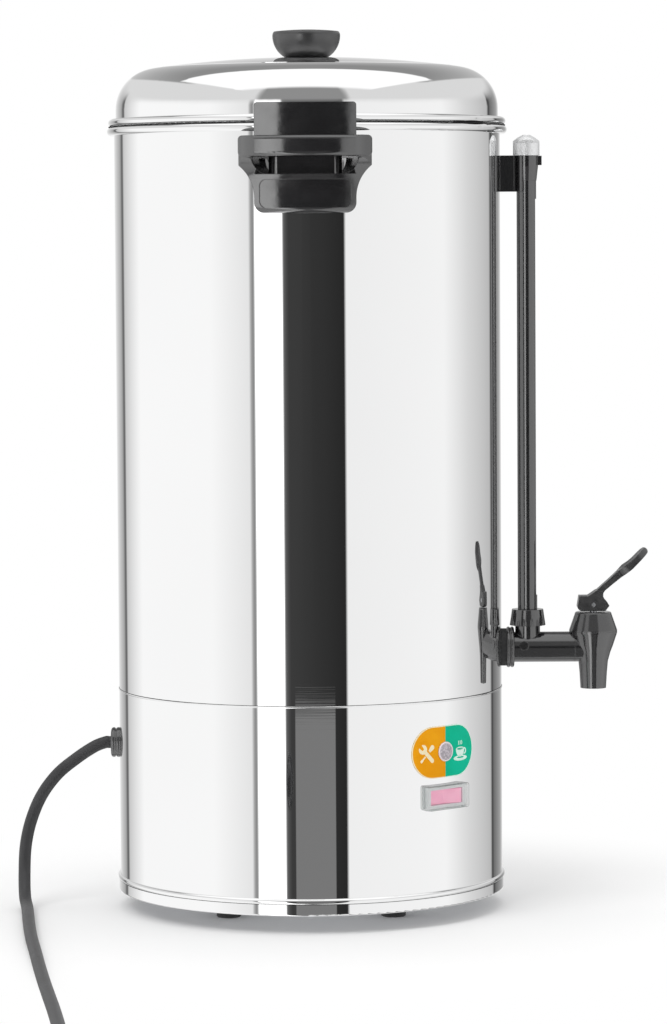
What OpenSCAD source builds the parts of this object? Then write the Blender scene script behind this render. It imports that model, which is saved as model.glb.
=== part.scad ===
// Hot water urn: a stainless tank on a heated base, with a lift-off lid, two moulded
// handles, a sight gauge and a lever tap.
// Millimetres. +Z is up, the floor is z = 0 and the tank's axis is the Z axis.
// The tap points along +X and the handles stand at -Y and +Y.

/* [Tank and base] */
// Outside diameter of tank and base
body_d = 215; // [190:1:250]
// Sheet thickness of tank, base and lid
sheet = 0.8; // [0.6:0.1:1.2]
// Height of the seam between base and tank
seam_z = 123.5; // [115:0.5:135]
// Height of the top of the tank's rolled rim
rim_z = 436.8; // [400:1:470]
// Height of the rolled rim
rim_h = 4.8; // [4:0.1:6]
// How far the rolled rim stands out of the wall
rim_out = 3.9; // [3:0.1:5]
// Height of the tank floor's underside above the seam
floor_rise = 7.5; // [5:0.5:9]
// Height of the base's lowest edge
base_z = 10; // [8:0.5:14]
// Height of the smooth band round the foot of the base
band_h = 6.2; // [4:0.1:9]
// How far that band stands out
band_out = 0.9; // [0.5:0.1:1.5]
// Height of the rolled bead above the band
bead_h = 3.2; // [2:0.1:4]
// How far the bead stands out
bead_out = 1.5; // [1:0.1:2]
// Width of the flange that carries the base plate
flange_w = 14; // [12:0.5:18]
// Thickness of the base plate
plate_t = 1; // [0.8:0.1:1.5]
// Number of vent slots in the base plate
vent_count = 10; // [6:1:14]

/* [Feet and screws] */
// Distance between two feet along one side of their square
foot_pitch = 91.2; // [80:1:110]
// Diameter of a foot at the floor
foot_d = 13.6; // [12:0.2:18]
// Depth of the hollow that holds a foot's screw head
foot_hollow = 6; // [4:0.5:7]
// Diameter of the assembly screws
screw_d = 4; // [3:0.5:4]
// Play between a screw and its hole, on the radius
screw_play = 0.1; // [0.05:0.05:0.2]

/* [Lid] */
// Gap between the rim and the lid's bead
lid_gap = 0.25; // [0.2:0.05:0.5]
// Height of the lid's rolled bead
lid_bead_h = 4.25; // [3.5:0.05:5]
// How far the lid's rolled bead stands out of the tank wall
lid_bead_out = 3.2; // [3:0.1:5]
// How far the lid's side wall stands in from the tank wall
lid_inset = 1; // [0.5:0.1:2]
// Height of the lid's straight side
lid_side_h = 9.2; // [6:0.1:14]
// Radius of the lid's shoulder
shoulder_r = 23; // [15:1:28]
// Radius of the lid's dome
dome_r = 640; // [400:10:900]
// Depth of the skirt that centres the lid in the tank
skirt_h = 7; // [5:0.5:12]
// Play between the skirt and the tank
skirt_play = 0.6; // [0.4:0.1:1]
// Width of the pouring gap pressed into the two beads
notch_w = 33; // [24:1:40]
// Depth of the pouring gap in each bead
notch_h = 1; // [0.6:0.1:1.5]
// Direction of the pouring gap, from the tap
notch_az = -34.6; // [-60:0.2:-20]
// Widest diameter of the knob
knob_d = 37.8; // [30:0.2:44]
// Diameter of the knob's foot
knob_foot_d = 24.4; // [20:0.2:28]
// Height of the knob
knob_h = 15.2; // [12:0.2:20]

/* [Handles] */
// Width of the grip bar
grip_w = 71; // [60:0.5:80]
// Height of the grip bar
grip_h = 10.8; // [9:0.2:14]
// Thickness of the grip bar
grip_t = 10; // [8:0.5:12]
// Reach of the grip bar's face from the tank wall
grip_reach = 39.5; // [34:0.5:46]
// Drop from the rim to the grip bar's top
grip_drop = 7.8; // [7:0.2:12]
// Width of the lower block
block_w = 54; // [50:0.5:60]
// Height of the whole lower block, up to the finger gap
block_h = 20.6; // [18:0.2:24]
// Reach of the lower block from the tank wall
block_reach = 24; // [22:0.5:28]
// Width of the column behind the finger gap
column_w = 39; // [34:0.5:44]
// Height of the finger gap under the grip bar
finger_h = 9.4; // [8:0.2:14]
// Width of the thumb guard above the grip bar
guard_w = 54.4; // [50:0.4:60]
// How far the thumb guard stands above the rim
guard_rise = 10.2; // [6:0.2:14]
// Thickness of the thumb guard
guard_t = 8.5; // [7:0.5:11]

/* [Gauge] */
// Distance of the gauge's axis from the tank wall
gauge_reach = 14.8; // [14.8:0.2:18]
// Outside diameter of the glass tube
glass_d = 8; // [7:0.5:8]
// Wall of the glass tube
glass_t = 1; // [0.8:0.1:1.5]
// Play round the glass, on the radius
glass_play = 0.3; // [0.2:0.1:0.4]
// Outside diameter of the guard round the glass
guard_d = 11; // [10.8:0.1:12]
// Width of the guard's viewing slot
slot_w = 5.4; // [4:0.2:6]
// Height of the coupling nut
coupling_h = 9; // [8:0.2:11]
// Diameter of the coupling nut at its foot
coupling_d = 20.1; // [19:0.1:22]
// Drop from the rim to the bracket's top
bracket_drop = 16.9; // [14:0.2:24]
// Height of the bracket
bracket_h = 20.1; // [17:0.2:24]
// Thickness of the bracket's web
web_t = 5; // [4:0.5:8]
// Diameter of the gauge's cap
cap_d = 14.8; // [14:0.2:17]
// Height of the gauge's cap
cap_h = 11.4; // [10:0.2:13]

/* [Tap] */
// Height of the tap shank's axis
tap_z = 144.6; // [143:0.2:150]
// Distance of the tap's axis from the tank wall
tap_reach = 51.6; // [48:0.2:60]
// Diameter of the shank
shank_d = 17; // [16:0.2:19]
// Diameter of the shank's threaded end in the tank wall
thread_d = 14; // [13:0.2:15]
// Bore of the shank
shank_bore = 8.4; // [7:0.2:9]
// Diameter of the shank's flange
flange_d = 22; // [21:0.2:24]
// Height of the spout's mouth
spout_z = 121.4; // [116:0.2:124]
// Outside diameter of the spout at its mouth
spout_d = 14.4; // [13.6:0.2:16]
// Bore of the spout
spout_bore = 10.4; // [9:0.2:11]
// Widest diameter of the tap's body
tap_d = 27; // [25:0.2:30]
// Height from the shank's axis to the top of the tap's body
tap_top = 8.9; // [8.5:0.1:10]
// Height of the bonnet
bonnet_h = 10.8; // [10:0.2:13]
// Diameter of the bonnet's top
bonnet_d = 20.7; // [18:0.2:24]
// Bore of the valve chamber
chamber_d = 13.4; // [13.4:0.2:14]
// Depth of the valve seat below the shank's axis
seat_drop = 5.1; // [4.8:0.1:6]
// Diameter of the valve stem
stem_d = 4; // [3.6:0.1:4.4]
// Running clearance of pins and stems, on the radius
run_gap = 0.06; // [0.03:0.01:0.1]
// How far the valve opens
valve_lift = 3.5; // [2.5:0.1:3.5]
// Height of the lever's pin above the bonnet
pin_rise = 4.2; // [4:0.1:5]
// Diameter of the lever's pin
pin_d = 2.4; // [2:0.1:2.8]
// Slope of the lever's arm
arm_angle = 39.7; // [30:0.1:50]
// Length of the lever from its pin to its tip
arm_length = 43; // [36:1:52]
// Width of the finger pad
pad_w = 15; // [12:0.5:18]
// Width of the lever's hub
hub_w = 11; // [10:0.5:13]

/* [Switch and lamp] */
// Direction of the switch, from the tap
switch_az = -46.8; // [-70:0.2:-30]
// Height of the switch's middle
switch_z = 70.8; // [60:0.2:74]
// Width of the splash cover
cover_w = 30; // [30:0.5:34]
// Height of the splash cover
cover_h = 13.5; // [13.5:0.1:16]
// How far the splash cover stands out of the wall
cover_out = 4.2; // [4.2:0.1:6]
// Wall of the splash cover
cover_t = 0.7; // [0.5:0.1:0.8]
// Angle that the rocker turns through
rocker_travel = 16; // [10:1:16]
// Height of the label's middle
label_z = 95.5; // [92:0.5:100]
// Width of the label
label_w = 45.8; // [40:0.2:52]
// Height of the label
label_h = 28.2; // [24:0.2:30]
// Thickness of the label
label_t = 0.35; // [0.2:0.05:0.6]
// Diameter of the lamp's lens
lens_d = 10.5; // [9.5:0.1:12]

/* [Cord] */
// Height of the cord's outlet
cord_z = 92; // [80:1:100]
// Diameter of the cord
cord_d = 6.8; // [6:0.1:7]
// Diameter of the cord grip's flange
grip_d = 16.8; // [16:0.2:20]
// How far the cord grip stands out of the wall
grip_out = 5; // [4:0.5:8]
// Radius of the coil's outermost turn
coil_r = 45; // [44:1:48]
// Turns in each layer of the coil
coil_turns = 2; // [1:1:2]
// Space between one turn of the coil and the next
coil_gap = 0.6; // [0.5:0.1:0.8]
// Diameter of the plug's face
plug_d = 37; // [35:0.5:38]
// Length of the plug's body
plug_l = 40; // [36:1:46]

/* [Hidden] */
$fn = 96;

// A thin space that keeps two curved faces of one body apart
skin = 0.05;
// Space round a fixed piece in its hole
fit = 0.2;
// Space between faces that move past each other
slide_gap = 0.3;
// More than any wall, for cuts that go right through
over = 2;

body_r = body_d / 2;
inner_r = body_r - sheet;
tank_floor_z = seam_z + floor_rise;
plate_z = base_z + 0.7;
plate_top_z = plate_z + plate_t;
plate_screw_x = body_r - flange_w / 2 - 1.5;
screw_r = screw_d / 2;
hole_r = screw_r + screw_play;
head_r = screw_d * 0.95;
head_h = screw_d * 0.6;
nut_h = screw_d * 0.8;
nut_r = screw_d;

lid_z = rim_z + lid_gap;
lid_r = body_r - lid_inset;
shoulder_x = lid_r - shoulder_r;
shoulder_z = lid_z + lid_side_h;
dome_drop = sqrt(pow(dome_r - shoulder_r, 2) - pow(shoulder_x, 2));
dome_z = shoulder_z - dome_drop;
lid_top_z = dome_z + dome_r;
knob_hole_r = screw_r + screw_play;

grip_top = rim_z - grip_drop;
grip_low = grip_top - grip_h;
block_top = grip_low - finger_h;
handle_low = block_top - block_h;
guard_top = rim_z + guard_rise;
rim_r = body_r + rim_out;
handle_screw_zs = [handle_low + 9, grip_low + 5];

gauge_x = body_r + gauge_reach;
tap_x = body_r + tap_reach;
guard_r = guard_d / 2;
glass_r = glass_d / 2;
flange_t = 3.9;
washer_t = 3;
neck_z = tap_z + shank_d / 2;
coupling_z = neck_z + 3.9;
coupling_top = coupling_z + coupling_h;
bracket_top = rim_z - bracket_drop;
bracket_low = bracket_top - bracket_h;
bracket_hole_z = bracket_low + bracket_h / 2;
glass_low = tap_z + shank_bore / 2 + 1.2;
glass_top = bracket_top + 3;

tap_top_z = tap_z + tap_top;
bonnet_top = tap_top_z + bonnet_h;
seat_z = tap_z - seat_drop;
pin_z = bonnet_top + pin_rise;
stem_r = stem_d / 2;
pin_r = pin_d / 2;
chamber_r = chamber_d / 2;
cup_r = chamber_r - slide_gap;
cup_h = 4;
cup_z = seat_z + slide_gap;
bonnet_edge_r = 1.2;
spring_closed = 9.2;
bonnet_under = cup_z + cup_h + spring_closed + valve_lift;
spring_wire = 0.8;
spring_r = 4.1;
spring_curls = 4;

switch_w = cover_w - 2 * cover_t - 0.2;
switch_h = cover_h - 2 * cover_t - 0.2;
frame_w = switch_w - 2.4;
frame_h = switch_h - 1.9;
pocket_w = frame_w - 2;
pocket_h = frame_h - 1.6;
rocker_w = pocket_w - 1.8;
rocker_h = pocket_h - 2 * slide_gap;
rocker_x = body_r - 4;
rocker_pin_r = 1;
frame_depth = 24;
lens_neck_r = 4;

cord_r = cord_d / 2;
outlet_x = -(body_r + grip_out);
coil_step = cord_d + coil_gap;
floor_gap = 0.1;
cord_low = cord_r + floor_gap;
coil_high = cord_low + coil_step;
plug_r = plug_d / 2;
plug_z = plug_r + floor_gap;
pin_apart = 19;
pin_root = 9;
pin_root_r = 1.9;
mains_pin_r = 2.35;
coil_x = -67;
coil_y = -484;
coil_end_y = coil_y - cord_d;
tail_end_y = coil_end_y - 62;

// The cord's route over the wall's side and the floor, from the cord grip to the coil
cord_route = [
    [outlet_x, 0, cord_z], [-114, 0, cord_z], [-115.5, 0, cord_z], [-122, 0, 89.5],
    [-132, 0, 83], [-143, 0, 74], [-152, 0, 62], [-158, -1, 48],
    [-161, -4, 34], [-161.5, -9, 19], [-160.5, -20, 8], [-158, -36, cord_low],
    [-154, -80, cord_low], [-149, -130, cord_low], [-143, -180, cord_low],
    [-138, -222, cord_low], [-133, -262, cord_low], [-128, -300, cord_low],
    [-122, -345, cord_low], [-116, -395, cord_low], [coil_x - coil_r, -440, cord_low],
    [coil_x - coil_r, coil_y + cord_d, cord_low]
];
// The cord's last stretch, from the top of the coil up to the plug
tail_route = [
    [coil_x - coil_r, coil_end_y, coil_high],
    [coil_x - coil_r, coil_end_y - 10, coil_high],
    [coil_x - coil_r, coil_end_y - 30, (coil_high + plug_z) / 2],
    [coil_x - coil_r, tail_end_y + 12, plug_z],
    [coil_x - coil_r, tail_end_y, plug_z]
];

// Inside the base: the heater, its sensors and the wiring
heater_r = 60;
heater_t = 3;
heater_z = tank_floor_z - heater_t;
element_tube_r = 4;
element_r = 48;
element_z = heater_z - element_tube_r + 0.5;
element_arc = 300;
element_drop = 18;
spade_l = 8;
sensor_x = 17;
sensor_h = 12;
sensor_ear = 9;
grip_in = 12;
lead_bend_r = 27;
lead_x = lead_bend_r + grip_in - body_r;
lead_end_z = 42;
porcelain_x = lead_x + 24.5;
porcelain_l = 34;
porcelain_w = 20;
porcelain_h = 14;
way_y = 13.5;
way_z = plate_top_z + 6;
block_screw_places = [[porcelain_x, -way_y / 2], [porcelain_x, way_y / 2]];
earth_place = [-30, 52];
wire_r = 1.2;

steel = [0.80, 0.81, 0.82];
plated = [0.70, 0.71, 0.72];
black = [0.09, 0.09, 0.10];
rubber = [0.13, 0.13, 0.14];

// ---------------------------------------------------------------- curves and tubes

function unit(v) = v / norm(v);

// A smooth curve through four points, between the second and the third
function curve_point(a, b, c, d, t) =
    0.5 * (2 * b + (c - a) * t + (2 * a - 5 * b + 4 * c - d) * t * t
        + (3 * b - a - 3 * c + d) * t * t * t);

// A route's points with its ends doubled, so that the curve reaches both
function padded(route) = concat(
    [2 * route[0] - route[1]], route,
    [2 * route[len(route) - 1] - route[len(route) - 2]]);

// A curve through a route's points, with a number of steps between each two
function smooth(route, steps) =
    let (p = padded(route), n = len(route))
    concat(
        [for (i = [0 : n - 2], k = [0 : steps - 1])
            curve_point(p[i], p[i + 1], p[i + 2], p[i + 3], k / steps)],
        [route[n - 1]]);

// The direction of a path at one of its points
function heading(path, i) = unit(path[min(i + 1, len(path) - 1)] - path[max(i - 1, 0)]);

// The rings of a tube round a path; aside is a direction that the path never takes
function tube_rings(path, r, sides, aside) = [
    for (i = [0 : len(path) - 1])
        let (h = heading(path, i), u = unit(cross(aside, h)), v = cross(h, u))
        for (k = [0 : sides - 1])
            path[i] + r * (cos(360 * k / sides) * u + sin(360 * k / sides) * v)
];

function tube_faces(rings, sides) = concat(
    [for (k = [1 : sides - 2]) [0, k, k + 1]],
    [for (i = [0 : rings - 2], k = [0 : sides - 1])
        let (a = i * sides + k, b = i * sides + (k + 1) % sides)
        each [[a, a + sides, b + sides], [a, b + sides, b]]],
    [for (k = [1 : sides - 2])
        let (o = (rings - 1) * sides)
        [o, o + k + 1, o + k]]);

module tube(path, r, sides, aside)
polyhedron(
    points = tube_rings(path, r, sides, aside),
    faces = tube_faces(len(path), sides),
    convexity = 10);

// ---------------------------------------------------------------- placing and shapes

module facing(azimuth) rotate([0, 0, azimuth]) children();

// Local Z becomes +X, starting at x, at height z
module along_x(x, z, y = 0) translate([x, y, z]) rotate([0, 90, 0]) children();

// A strip of a turned section with a round outer edge
module rolled_edge(wall_r, out, low, h) {
    translate([wall_r - sheet, low]) square([sheet + out - h / 2, h]);
    translate([wall_r + out - h / 2, low + h / 2]) circle(d = h);
}

// A flat outline with round ends, w long in x and h high in y
module stadium(w, h) {
    square([w - h, h], center = true);
    for (side = [-1, 1]) translate([side * (w - h) / 2, 0]) circle(d = h);
}

// A rectangle with round corners, centred
module rounded(w, h, r) {
    square([w - 2 * r, h], center = true);
    square([w, h - 2 * r], center = true);
    for (x = [-1, 1], y = [-1, 1])
        translate([x * (w / 2 - r), y * (h / 2 - r)]) circle(r = r, $fn = 48);
}

// A pan-head screw along +Z, its head's bearing face at z = 0
module pan_screw(length) {
    cylinder(r = screw_r, h = length, $fn = 48);
    rotate_extrude($fn = 48) intersection() {
        translate([0, -head_h]) square([head_r, head_h]);
        translate([0, head_r * 1.6 - head_h]) circle(r = head_r * 1.6);
    }
}

module hex_nut(r, h, bore_r) difference() {
    cylinder(r = r, h = h, $fn = 6);
    translate([0, 0, -over]) cylinder(r = bore_r, h = h + 2 * over, $fn = 48);
}

// The tank's outer wall as a solid, for pieces that lie against it
module wall_core(gap = skin)
translate([0, 0, -over]) cylinder(r = body_r + gap, h = guard_top + 2 * over, $fn = 192);

// A lens-shaped gap cut from the side; way is 1 to cut upwards, -1 to cut downwards
module notch(edge_z, way) {
    r = (notch_w * notch_w / 4 + notch_h * notch_h) / (2 * notch_h);
    facing(notch_az) along_x(body_r + 0.4, edge_z + way * (notch_h - r))
        cylinder(r = r, h = rim_out + over, $fn = 360);
}

// ---------------------------------------------------------------- tank and base

module tank_shell()
color(steel) difference() {
    rotate_extrude($fn = 192) {
        translate([inner_r, seam_z + fit]) square([sheet, rim_z - rim_h / 2 - seam_z - fit]);
        translate([0, tank_floor_z]) square([body_r - sheet / 2, sheet]);
        rolled_edge(body_r, rim_out, rim_z - rim_h, rim_h);
    }
    along_x(body_r - 4, tap_z) cylinder(d = thread_d + 2 * fit, h = 8);
    along_x(body_r - 4, bracket_hole_z) cylinder(r = hole_r, h = 8, $fn = 48);
    for (az = [-90, 90], z = handle_screw_zs)
        facing(az) along_x(body_r - 4, z) cylinder(r = hole_r, h = 8, $fn = 48);
    notch(rim_z, -1);
}

module base_shell()
color(steel) difference() {
    rotate_extrude($fn = 192) {
        translate([inner_r, base_z + 1]) square([sheet, seam_z - base_z - 1]);
        translate([inner_r, base_z + 1]) square([sheet + band_out, band_h - 1]);
        translate([inner_r, base_z]) square([sheet + band_out - 1, 1.5]);
        translate([body_r + band_out - 1, base_z + 1]) circle(r = 1, $fn = 48);
        rolled_edge(body_r, bead_out, base_z + band_h, bead_h);
        translate([body_r - flange_w, plate_top_z]) square([flange_w - sheet / 2, sheet]);
        translate([inner_r - sheet - fit, seam_z - 3]) square([sheet, floor_rise + 3]);
        translate([inner_r - sheet - fit, seam_z - 3]) square([sheet + 2 * fit, 3]);
    }
    facing(180) along_x(body_r - 4, cord_z) cylinder(d = grip_d - 4.4 + 2 * fit, h = 8);
    facing(switch_az) translate([body_r, 0, switch_z])
        cube([8, frame_w + 2 * fit, frame_h + 2 * fit], center = true);
    facing(switch_az) along_x(body_r - 4, label_z) cylinder(r = lens_neck_r + fit, h = 8);
    for (a = [0 : 90 : 270]) rotate([0, 0, a])
        translate([plate_screw_x, 0, plate_z - over]) cylinder(r = hole_r, h = 8, $fn = 48);
}

module foot_places()
for (x = [-1, 1], y = [-1, 1]) translate([x * foot_pitch / 2, y * foot_pitch / 2]) children();

module base_plate()
color(plated) translate([0, 0, plate_z]) linear_extrude(plate_t) difference() {
    circle(r = inner_r - 2.8);
    foot_places() circle(r = hole_r, $fn = 48);
    for (a = [0 : 90 : 270]) rotate(a) translate([plate_screw_x, 0]) circle(r = hole_r, $fn = 48);
    for (k = [0 : vent_count - 1]) rotate((k + 0.5) * 360 / vent_count) translate([28, 0]) stadium(20, 4);
    for (p = block_screw_places) translate(p) circle(r = hole_r, $fn = 48);
    translate(earth_place) circle(r = hole_r, $fn = 48);
}

module base_screws()
color(plated) for (a = [0 : 90 : 270]) rotate([0, 0, a])
    translate([plate_screw_x, 0, plate_z]) pan_screw(6);

module feet()
color(rubber) foot_places() difference() {
    rotate_extrude($fn = 64) {
        square([foot_d / 2 - 0.8, 2]);
        translate([0, 0.8]) square([foot_d / 2, 1.2]);
        translate([foot_d / 2 - 0.8, 0.8]) circle(r = 0.8, $fn = 32);
        polygon([[0, 2], [foot_d / 2, 2], [foot_d / 2 + 0.9, plate_z], [0, plate_z]]);
    }
    translate([0, 0, -over]) cylinder(r = head_r + 0.5, h = foot_hollow + over, $fn = 48);
    translate([0, 0, -over]) cylinder(r = hole_r, h = plate_z + 2 * over, $fn = 48);
}

module foot_screws()
color(plated) foot_places() translate([0, 0, foot_hollow])
    pan_screw(plate_top_z - foot_hollow + nut_h + 1);

module foot_nuts()
color(plated) foot_places() translate([0, 0, plate_top_z]) hex_nut(nut_r, nut_h, hole_r - 0.05);

// ---------------------------------------------------------------- heater and sensors

module heater_plate()
color([0.62, 0.63, 0.65]) difference() {
    translate([0, 0, heater_z]) cylinder(r = heater_r, h = heater_t);
    sensor_screw_places() translate([0, 0, heater_z - over])
        cylinder(r = screw_r - 0.4, h = heater_t + over - 0.5, $fn = 32);
}

module sensor_screw_places()
for (x = [-sensor_x, sensor_x], y = [-sensor_ear, sensor_ear]) translate([x, y, 0]) children();

// A spade terminal hanging down from z = 0
module spade(length) translate([-3.15, -0.4, -length]) cube([6.3, 0.8, length]);

// A tube bent to an open ring under the plate, with two turned-down ends and their spades
module heating_element()
color([0.45, 0.44, 0.43]) difference() {
    union() {
        translate([0, 0, element_z]) rotate([0, 0, -element_arc / 2])
            rotate_extrude(angle = element_arc) translate([element_r, 0])
                circle(r = element_tube_r, $fn = 32);
        for (side = [-1, 1]) rotate([0, 0, side * element_arc / 2]) translate([element_r, 0, element_z]) {
            sphere(r = element_tube_r, $fn = 32);
            translate([0, 0, 6 - element_drop]) cylinder(r = element_tube_r, h = element_drop - 6, $fn = 32);
            translate([0, 0, -element_drop]) cylinder(r = 1.8, h = 8, $fn = 32);
            translate([0, 0, 2 - element_drop]) spade(spade_l);
        }
    }
    translate([0, 0, heater_z]) cylinder(r = heater_r, h = 10);
}

// A disc sensor hanging from z = 0: an eared flange, a round can and two spades
module disc_sensor() {
    translate([0, 0, -sensor_h]) cylinder(r = 6.4, h = sensor_h, $fn = 48);
    difference() {
        translate([0, 0, -1.2]) linear_extrude(1.2) rotate(90) stadium(2 * sensor_ear + 8, 10);
        for (y = [-sensor_ear, sensor_ear]) translate([0, y, -over])
            cylinder(r = hole_r, h = 2 * over, $fn = 32);
    }
    for (y = [-4, 4]) translate([0, y, 0.5 - sensor_h]) spade(spade_l);
}

module thermostat() color(black) translate([sensor_x, 0, heater_z]) disc_sensor();

module thermal_cutout()
color([0.82, 0.80, 0.74]) translate([-sensor_x, 0, heater_z]) {
    disc_sensor();
    translate([0, 0, -sensor_h - 3]) cylinder(r = 1.6, h = 4, $fn = 32);
}

module sensor_screws()
color(plated) sensor_screw_places() translate([0, 0, heater_z - 1.2]) {
    cylinder(r = screw_r - 0.5, h = 3.4, $fn = 32);
    translate([0, 0, -1.8]) cylinder(r = screw_r + 0.1, h = 1.8, $fn = 32);
}

// ---------------------------------------------------------------- wiring

// A porcelain block with three ways through it and two screw holes between them
module terminal_block()
color([0.90, 0.88, 0.83]) difference() {
    translate([porcelain_x, 0, plate_top_z + porcelain_h / 2])
        cube([porcelain_w, porcelain_l, porcelain_h], center = true);
    for (y = [-way_y, 0, way_y]) {
        along_x(porcelain_x - porcelain_w, way_z, y) cylinder(r = 2, h = 2 * porcelain_w, $fn = 32);
        for (x = [-5, 5]) translate([porcelain_x + x, y, way_z]) cylinder(r = 2.2, h = porcelain_h, $fn = 32);
    }
    for (p = block_screw_places) translate([p[0], p[1], plate_z])
        cylinder(r = hole_r, h = porcelain_h + over, $fn = 32);
}

module block_screws()
color(plated) for (p = block_screw_places) translate([p[0], p[1], plate_top_z + porcelain_h])
    mirror([0, 0, 1]) pan_screw(porcelain_h + plate_t + 2);

module earth_stud()
color(plated) translate([earth_place[0], earth_place[1], 0]) {
    translate([0, 0, plate_z]) pan_screw(14);
    translate([0, 0, plate_top_z]) hex_nut(nut_r, nut_h, hole_r - skin);
}

// The mains lead inside the base: in through the cord grip, then down beside the block
lead_path = concat(
    [[outlet_x, 0, cord_z], [outlet_x + 6, 0, cord_z]],
    [for (a = [0 : 15 : 90])
        [lead_x - lead_bend_r + lead_bend_r * sin(a), 0, cord_z - lead_bend_r + lead_bend_r * cos(a)]],
    [[lead_x, 0, lead_end_z + 8], [lead_x, 0, lead_end_z]]);

module lead_inside() color(rubber) tube(lead_path, cord_r, 10, [0, 1, 0]);

element_pin = [element_r * cos(element_arc / 2), element_r * sin(element_arc / 2)];
element_low = element_z - element_drop - spade_l + 2;
sensor_low = heater_z - sensor_h - spade_l + 0.5;
terminal_x = body_r - frame_depth - spade_l;
lamp_x = body_r - 20;
away = 0.3;

// A wire's straight end in a way of the block: side is -1 outwards, 1 inwards
function into_block(side, y) = [
    for (reach = [6, 1, -4]) [porcelain_x + side * (porcelain_w / 2 + reach), y, way_z]];
function out_of_block(side, y) = let (end = into_block(side, y)) [end[2], end[1], end[0]];

// A place given outwards from the axis, across and up, in the switch's direction
function at_switch(x, y, z) = [
    x * cos(switch_az) - y * sin(switch_az), x * sin(switch_az) + y * cos(switch_az), z];

// Each wire is a route and a direction that it never takes
wires = [
    // the lead's three cores, into the block
    for (k = [-1, 0, 1]) [concat(
        [[lead_x, k * 2, lead_end_z - away], [lead_x, k * 5, lead_end_z - 10],
            [lead_x + 3, k * 11, way_z + 5]],
        into_block(-1, k * way_y)), [0, 1, 0.2]],
    // block to switch
    [concat(
        out_of_block(1, -way_y),
        [[-10, -40, 24], at_switch(52, -8, 50), at_switch(terminal_x - 12, -6, switch_z),
            at_switch(terminal_x - away, -6, switch_z)]), [1, 1, 0]],
    // switch to thermostat
    [[at_switch(terminal_x - away, 6, switch_z), at_switch(terminal_x - 12, 6, switch_z),
        [28, -14, 86], [sensor_x, -5, 98], [sensor_x, -4, sensor_low - away]], [1, 1, 0]],
    // thermostat to cut-out
    [[[sensor_x, 4, sensor_low - away], [sensor_x, 4, sensor_low - 8], [0, 4, sensor_low - 16],
        [-sensor_x, 4, sensor_low - 8], [-sensor_x, 4, sensor_low - away]], [0, 1, 0]],
    // cut-out to element
    [[[-sensor_x, -4, sensor_low - away], [-sensor_x - 1, -5, sensor_low - 8],
        [-30, -14, element_low - 18], [element_pin[0] + 1, -element_pin[1] + 1, element_low - 8],
        [element_pin[0], -element_pin[1], element_low - away]], [1, -1, 0]],
    // element to block
    [concat(
        [[element_pin[0], element_pin[1], element_low - away],
            [element_pin[0], element_pin[1], element_low - 12], [-34, 20, 50],
            [porcelain_x + porcelain_w / 2 + 9, way_y + 2, way_z + 8]],
        into_block(1, way_y)), [0, 1, 0.3]],
    // block to earth stud
    [concat(
        out_of_block(1, 0),
        [[-27, 16, way_z], [-25, 34, way_z],
            [earth_place[0], earth_place[1] - screw_r - wire_r, way_z]]), [0, 0, 1]],
    // lamp to switch, two wires
    for (side = [-1, 1]) [[
        at_switch(lamp_x - away, side * 2.5, label_z), at_switch(lamp_x - 10, side * 2.5, label_z - 2),
        at_switch(terminal_x - 14, side * 2.3, (label_z + switch_z) / 2),
        at_switch(terminal_x - 10, side * 2.1, switch_z + 1),
        at_switch(terminal_x - away, side * 2, switch_z)], [sin(switch_az), -cos(switch_az), 0]]
];

module inner_wires()
color([0.55, 0.25, 0.15]) for (w = wires) tube(smooth(w[0], 4), wire_r, 6, w[1]);

// ---------------------------------------------------------------- switch, lamp and label

// A block in the switch's direction, x from low to high, centred across
module switch_block(low, high, w, h)
translate([low, -w / 2, switch_z - h / 2]) cube([high - low, w, h]);

module switch_frame()
color(black) facing(switch_az) difference() {
    union() {
        switch_block(body_r - frame_depth, body_r + 0.4, frame_w, frame_h);
        difference() {
            switch_block(body_r - 3, body_r + 1.3, switch_w, switch_h);
            wall_core();
        }
    }
    switch_block(body_r - 11, body_r + 5, pocket_w, pocket_h);
    translate([rocker_x, 0, switch_z - frame_h])
        cylinder(r = rocker_pin_r + run_gap, h = 2 * frame_h, $fn = 32);
}

module switch_terminals()
color([0.75, 0.65, 0.35]) facing(switch_az) for (y = [-6, -2, 2, 6])
    translate([terminal_x, y - 0.4, switch_z - (abs(y) == 6 ? 3.15 : 1.4)])
        cube([spade_l, 0.8, abs(y) == 6 ? 6.3 : 2.8]);

// A rocker with a shallow V face, turned to one side on its two pins
module switch_rocker()
color([0.92, 0.62, 0.70])
facing(switch_az) translate([rocker_x, 0, switch_z]) rotate([0, 0, -rocker_travel / 2]) {
    translate([0, 0, -rocker_h / 2]) linear_extrude(rocker_h) polygon([
        [-2.4, -3], [-1, -rocker_w / 2], [4.4, -rocker_w / 2], [3, 0],
        [4.4, rocker_w / 2], [-1, rocker_w / 2], [-2.4, 3]]);
    translate([0, 0, -frame_h / 2]) cylinder(r = rocker_pin_r, h = frame_h, $fn = 32);
}

// A clear boot over the whole switch, open at the back
module switch_cover()
color([0.85, 0.88, 0.88, 0.5]) facing(switch_az) difference() {
    switch_block(body_r - 3, body_r + cover_out, cover_w, cover_h);
    switch_block(body_r - 5, body_r + cover_out - cover_t, switch_w + 0.1, switch_h + 0.1);
    wall_core();
}

module label_half(side)
facing(switch_az) difference() {
    intersection() {
        cylinder(r = body_r + skin + label_t, h = label_z + label_h, $fn = 192);
        along_x(body_r - 20, label_z) linear_extrude(40) rotate(90) stadium(label_w, label_h);
        translate([body_r - 20, side > 0 ? 0 : -label_w, label_z - label_h]) cube([40, label_w, 2 * label_h]);
    }
    wall_core();
    along_x(body_r - 4, label_z) cylinder(r = lens_d / 2 + 0.1, h = 8);
}

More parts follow.
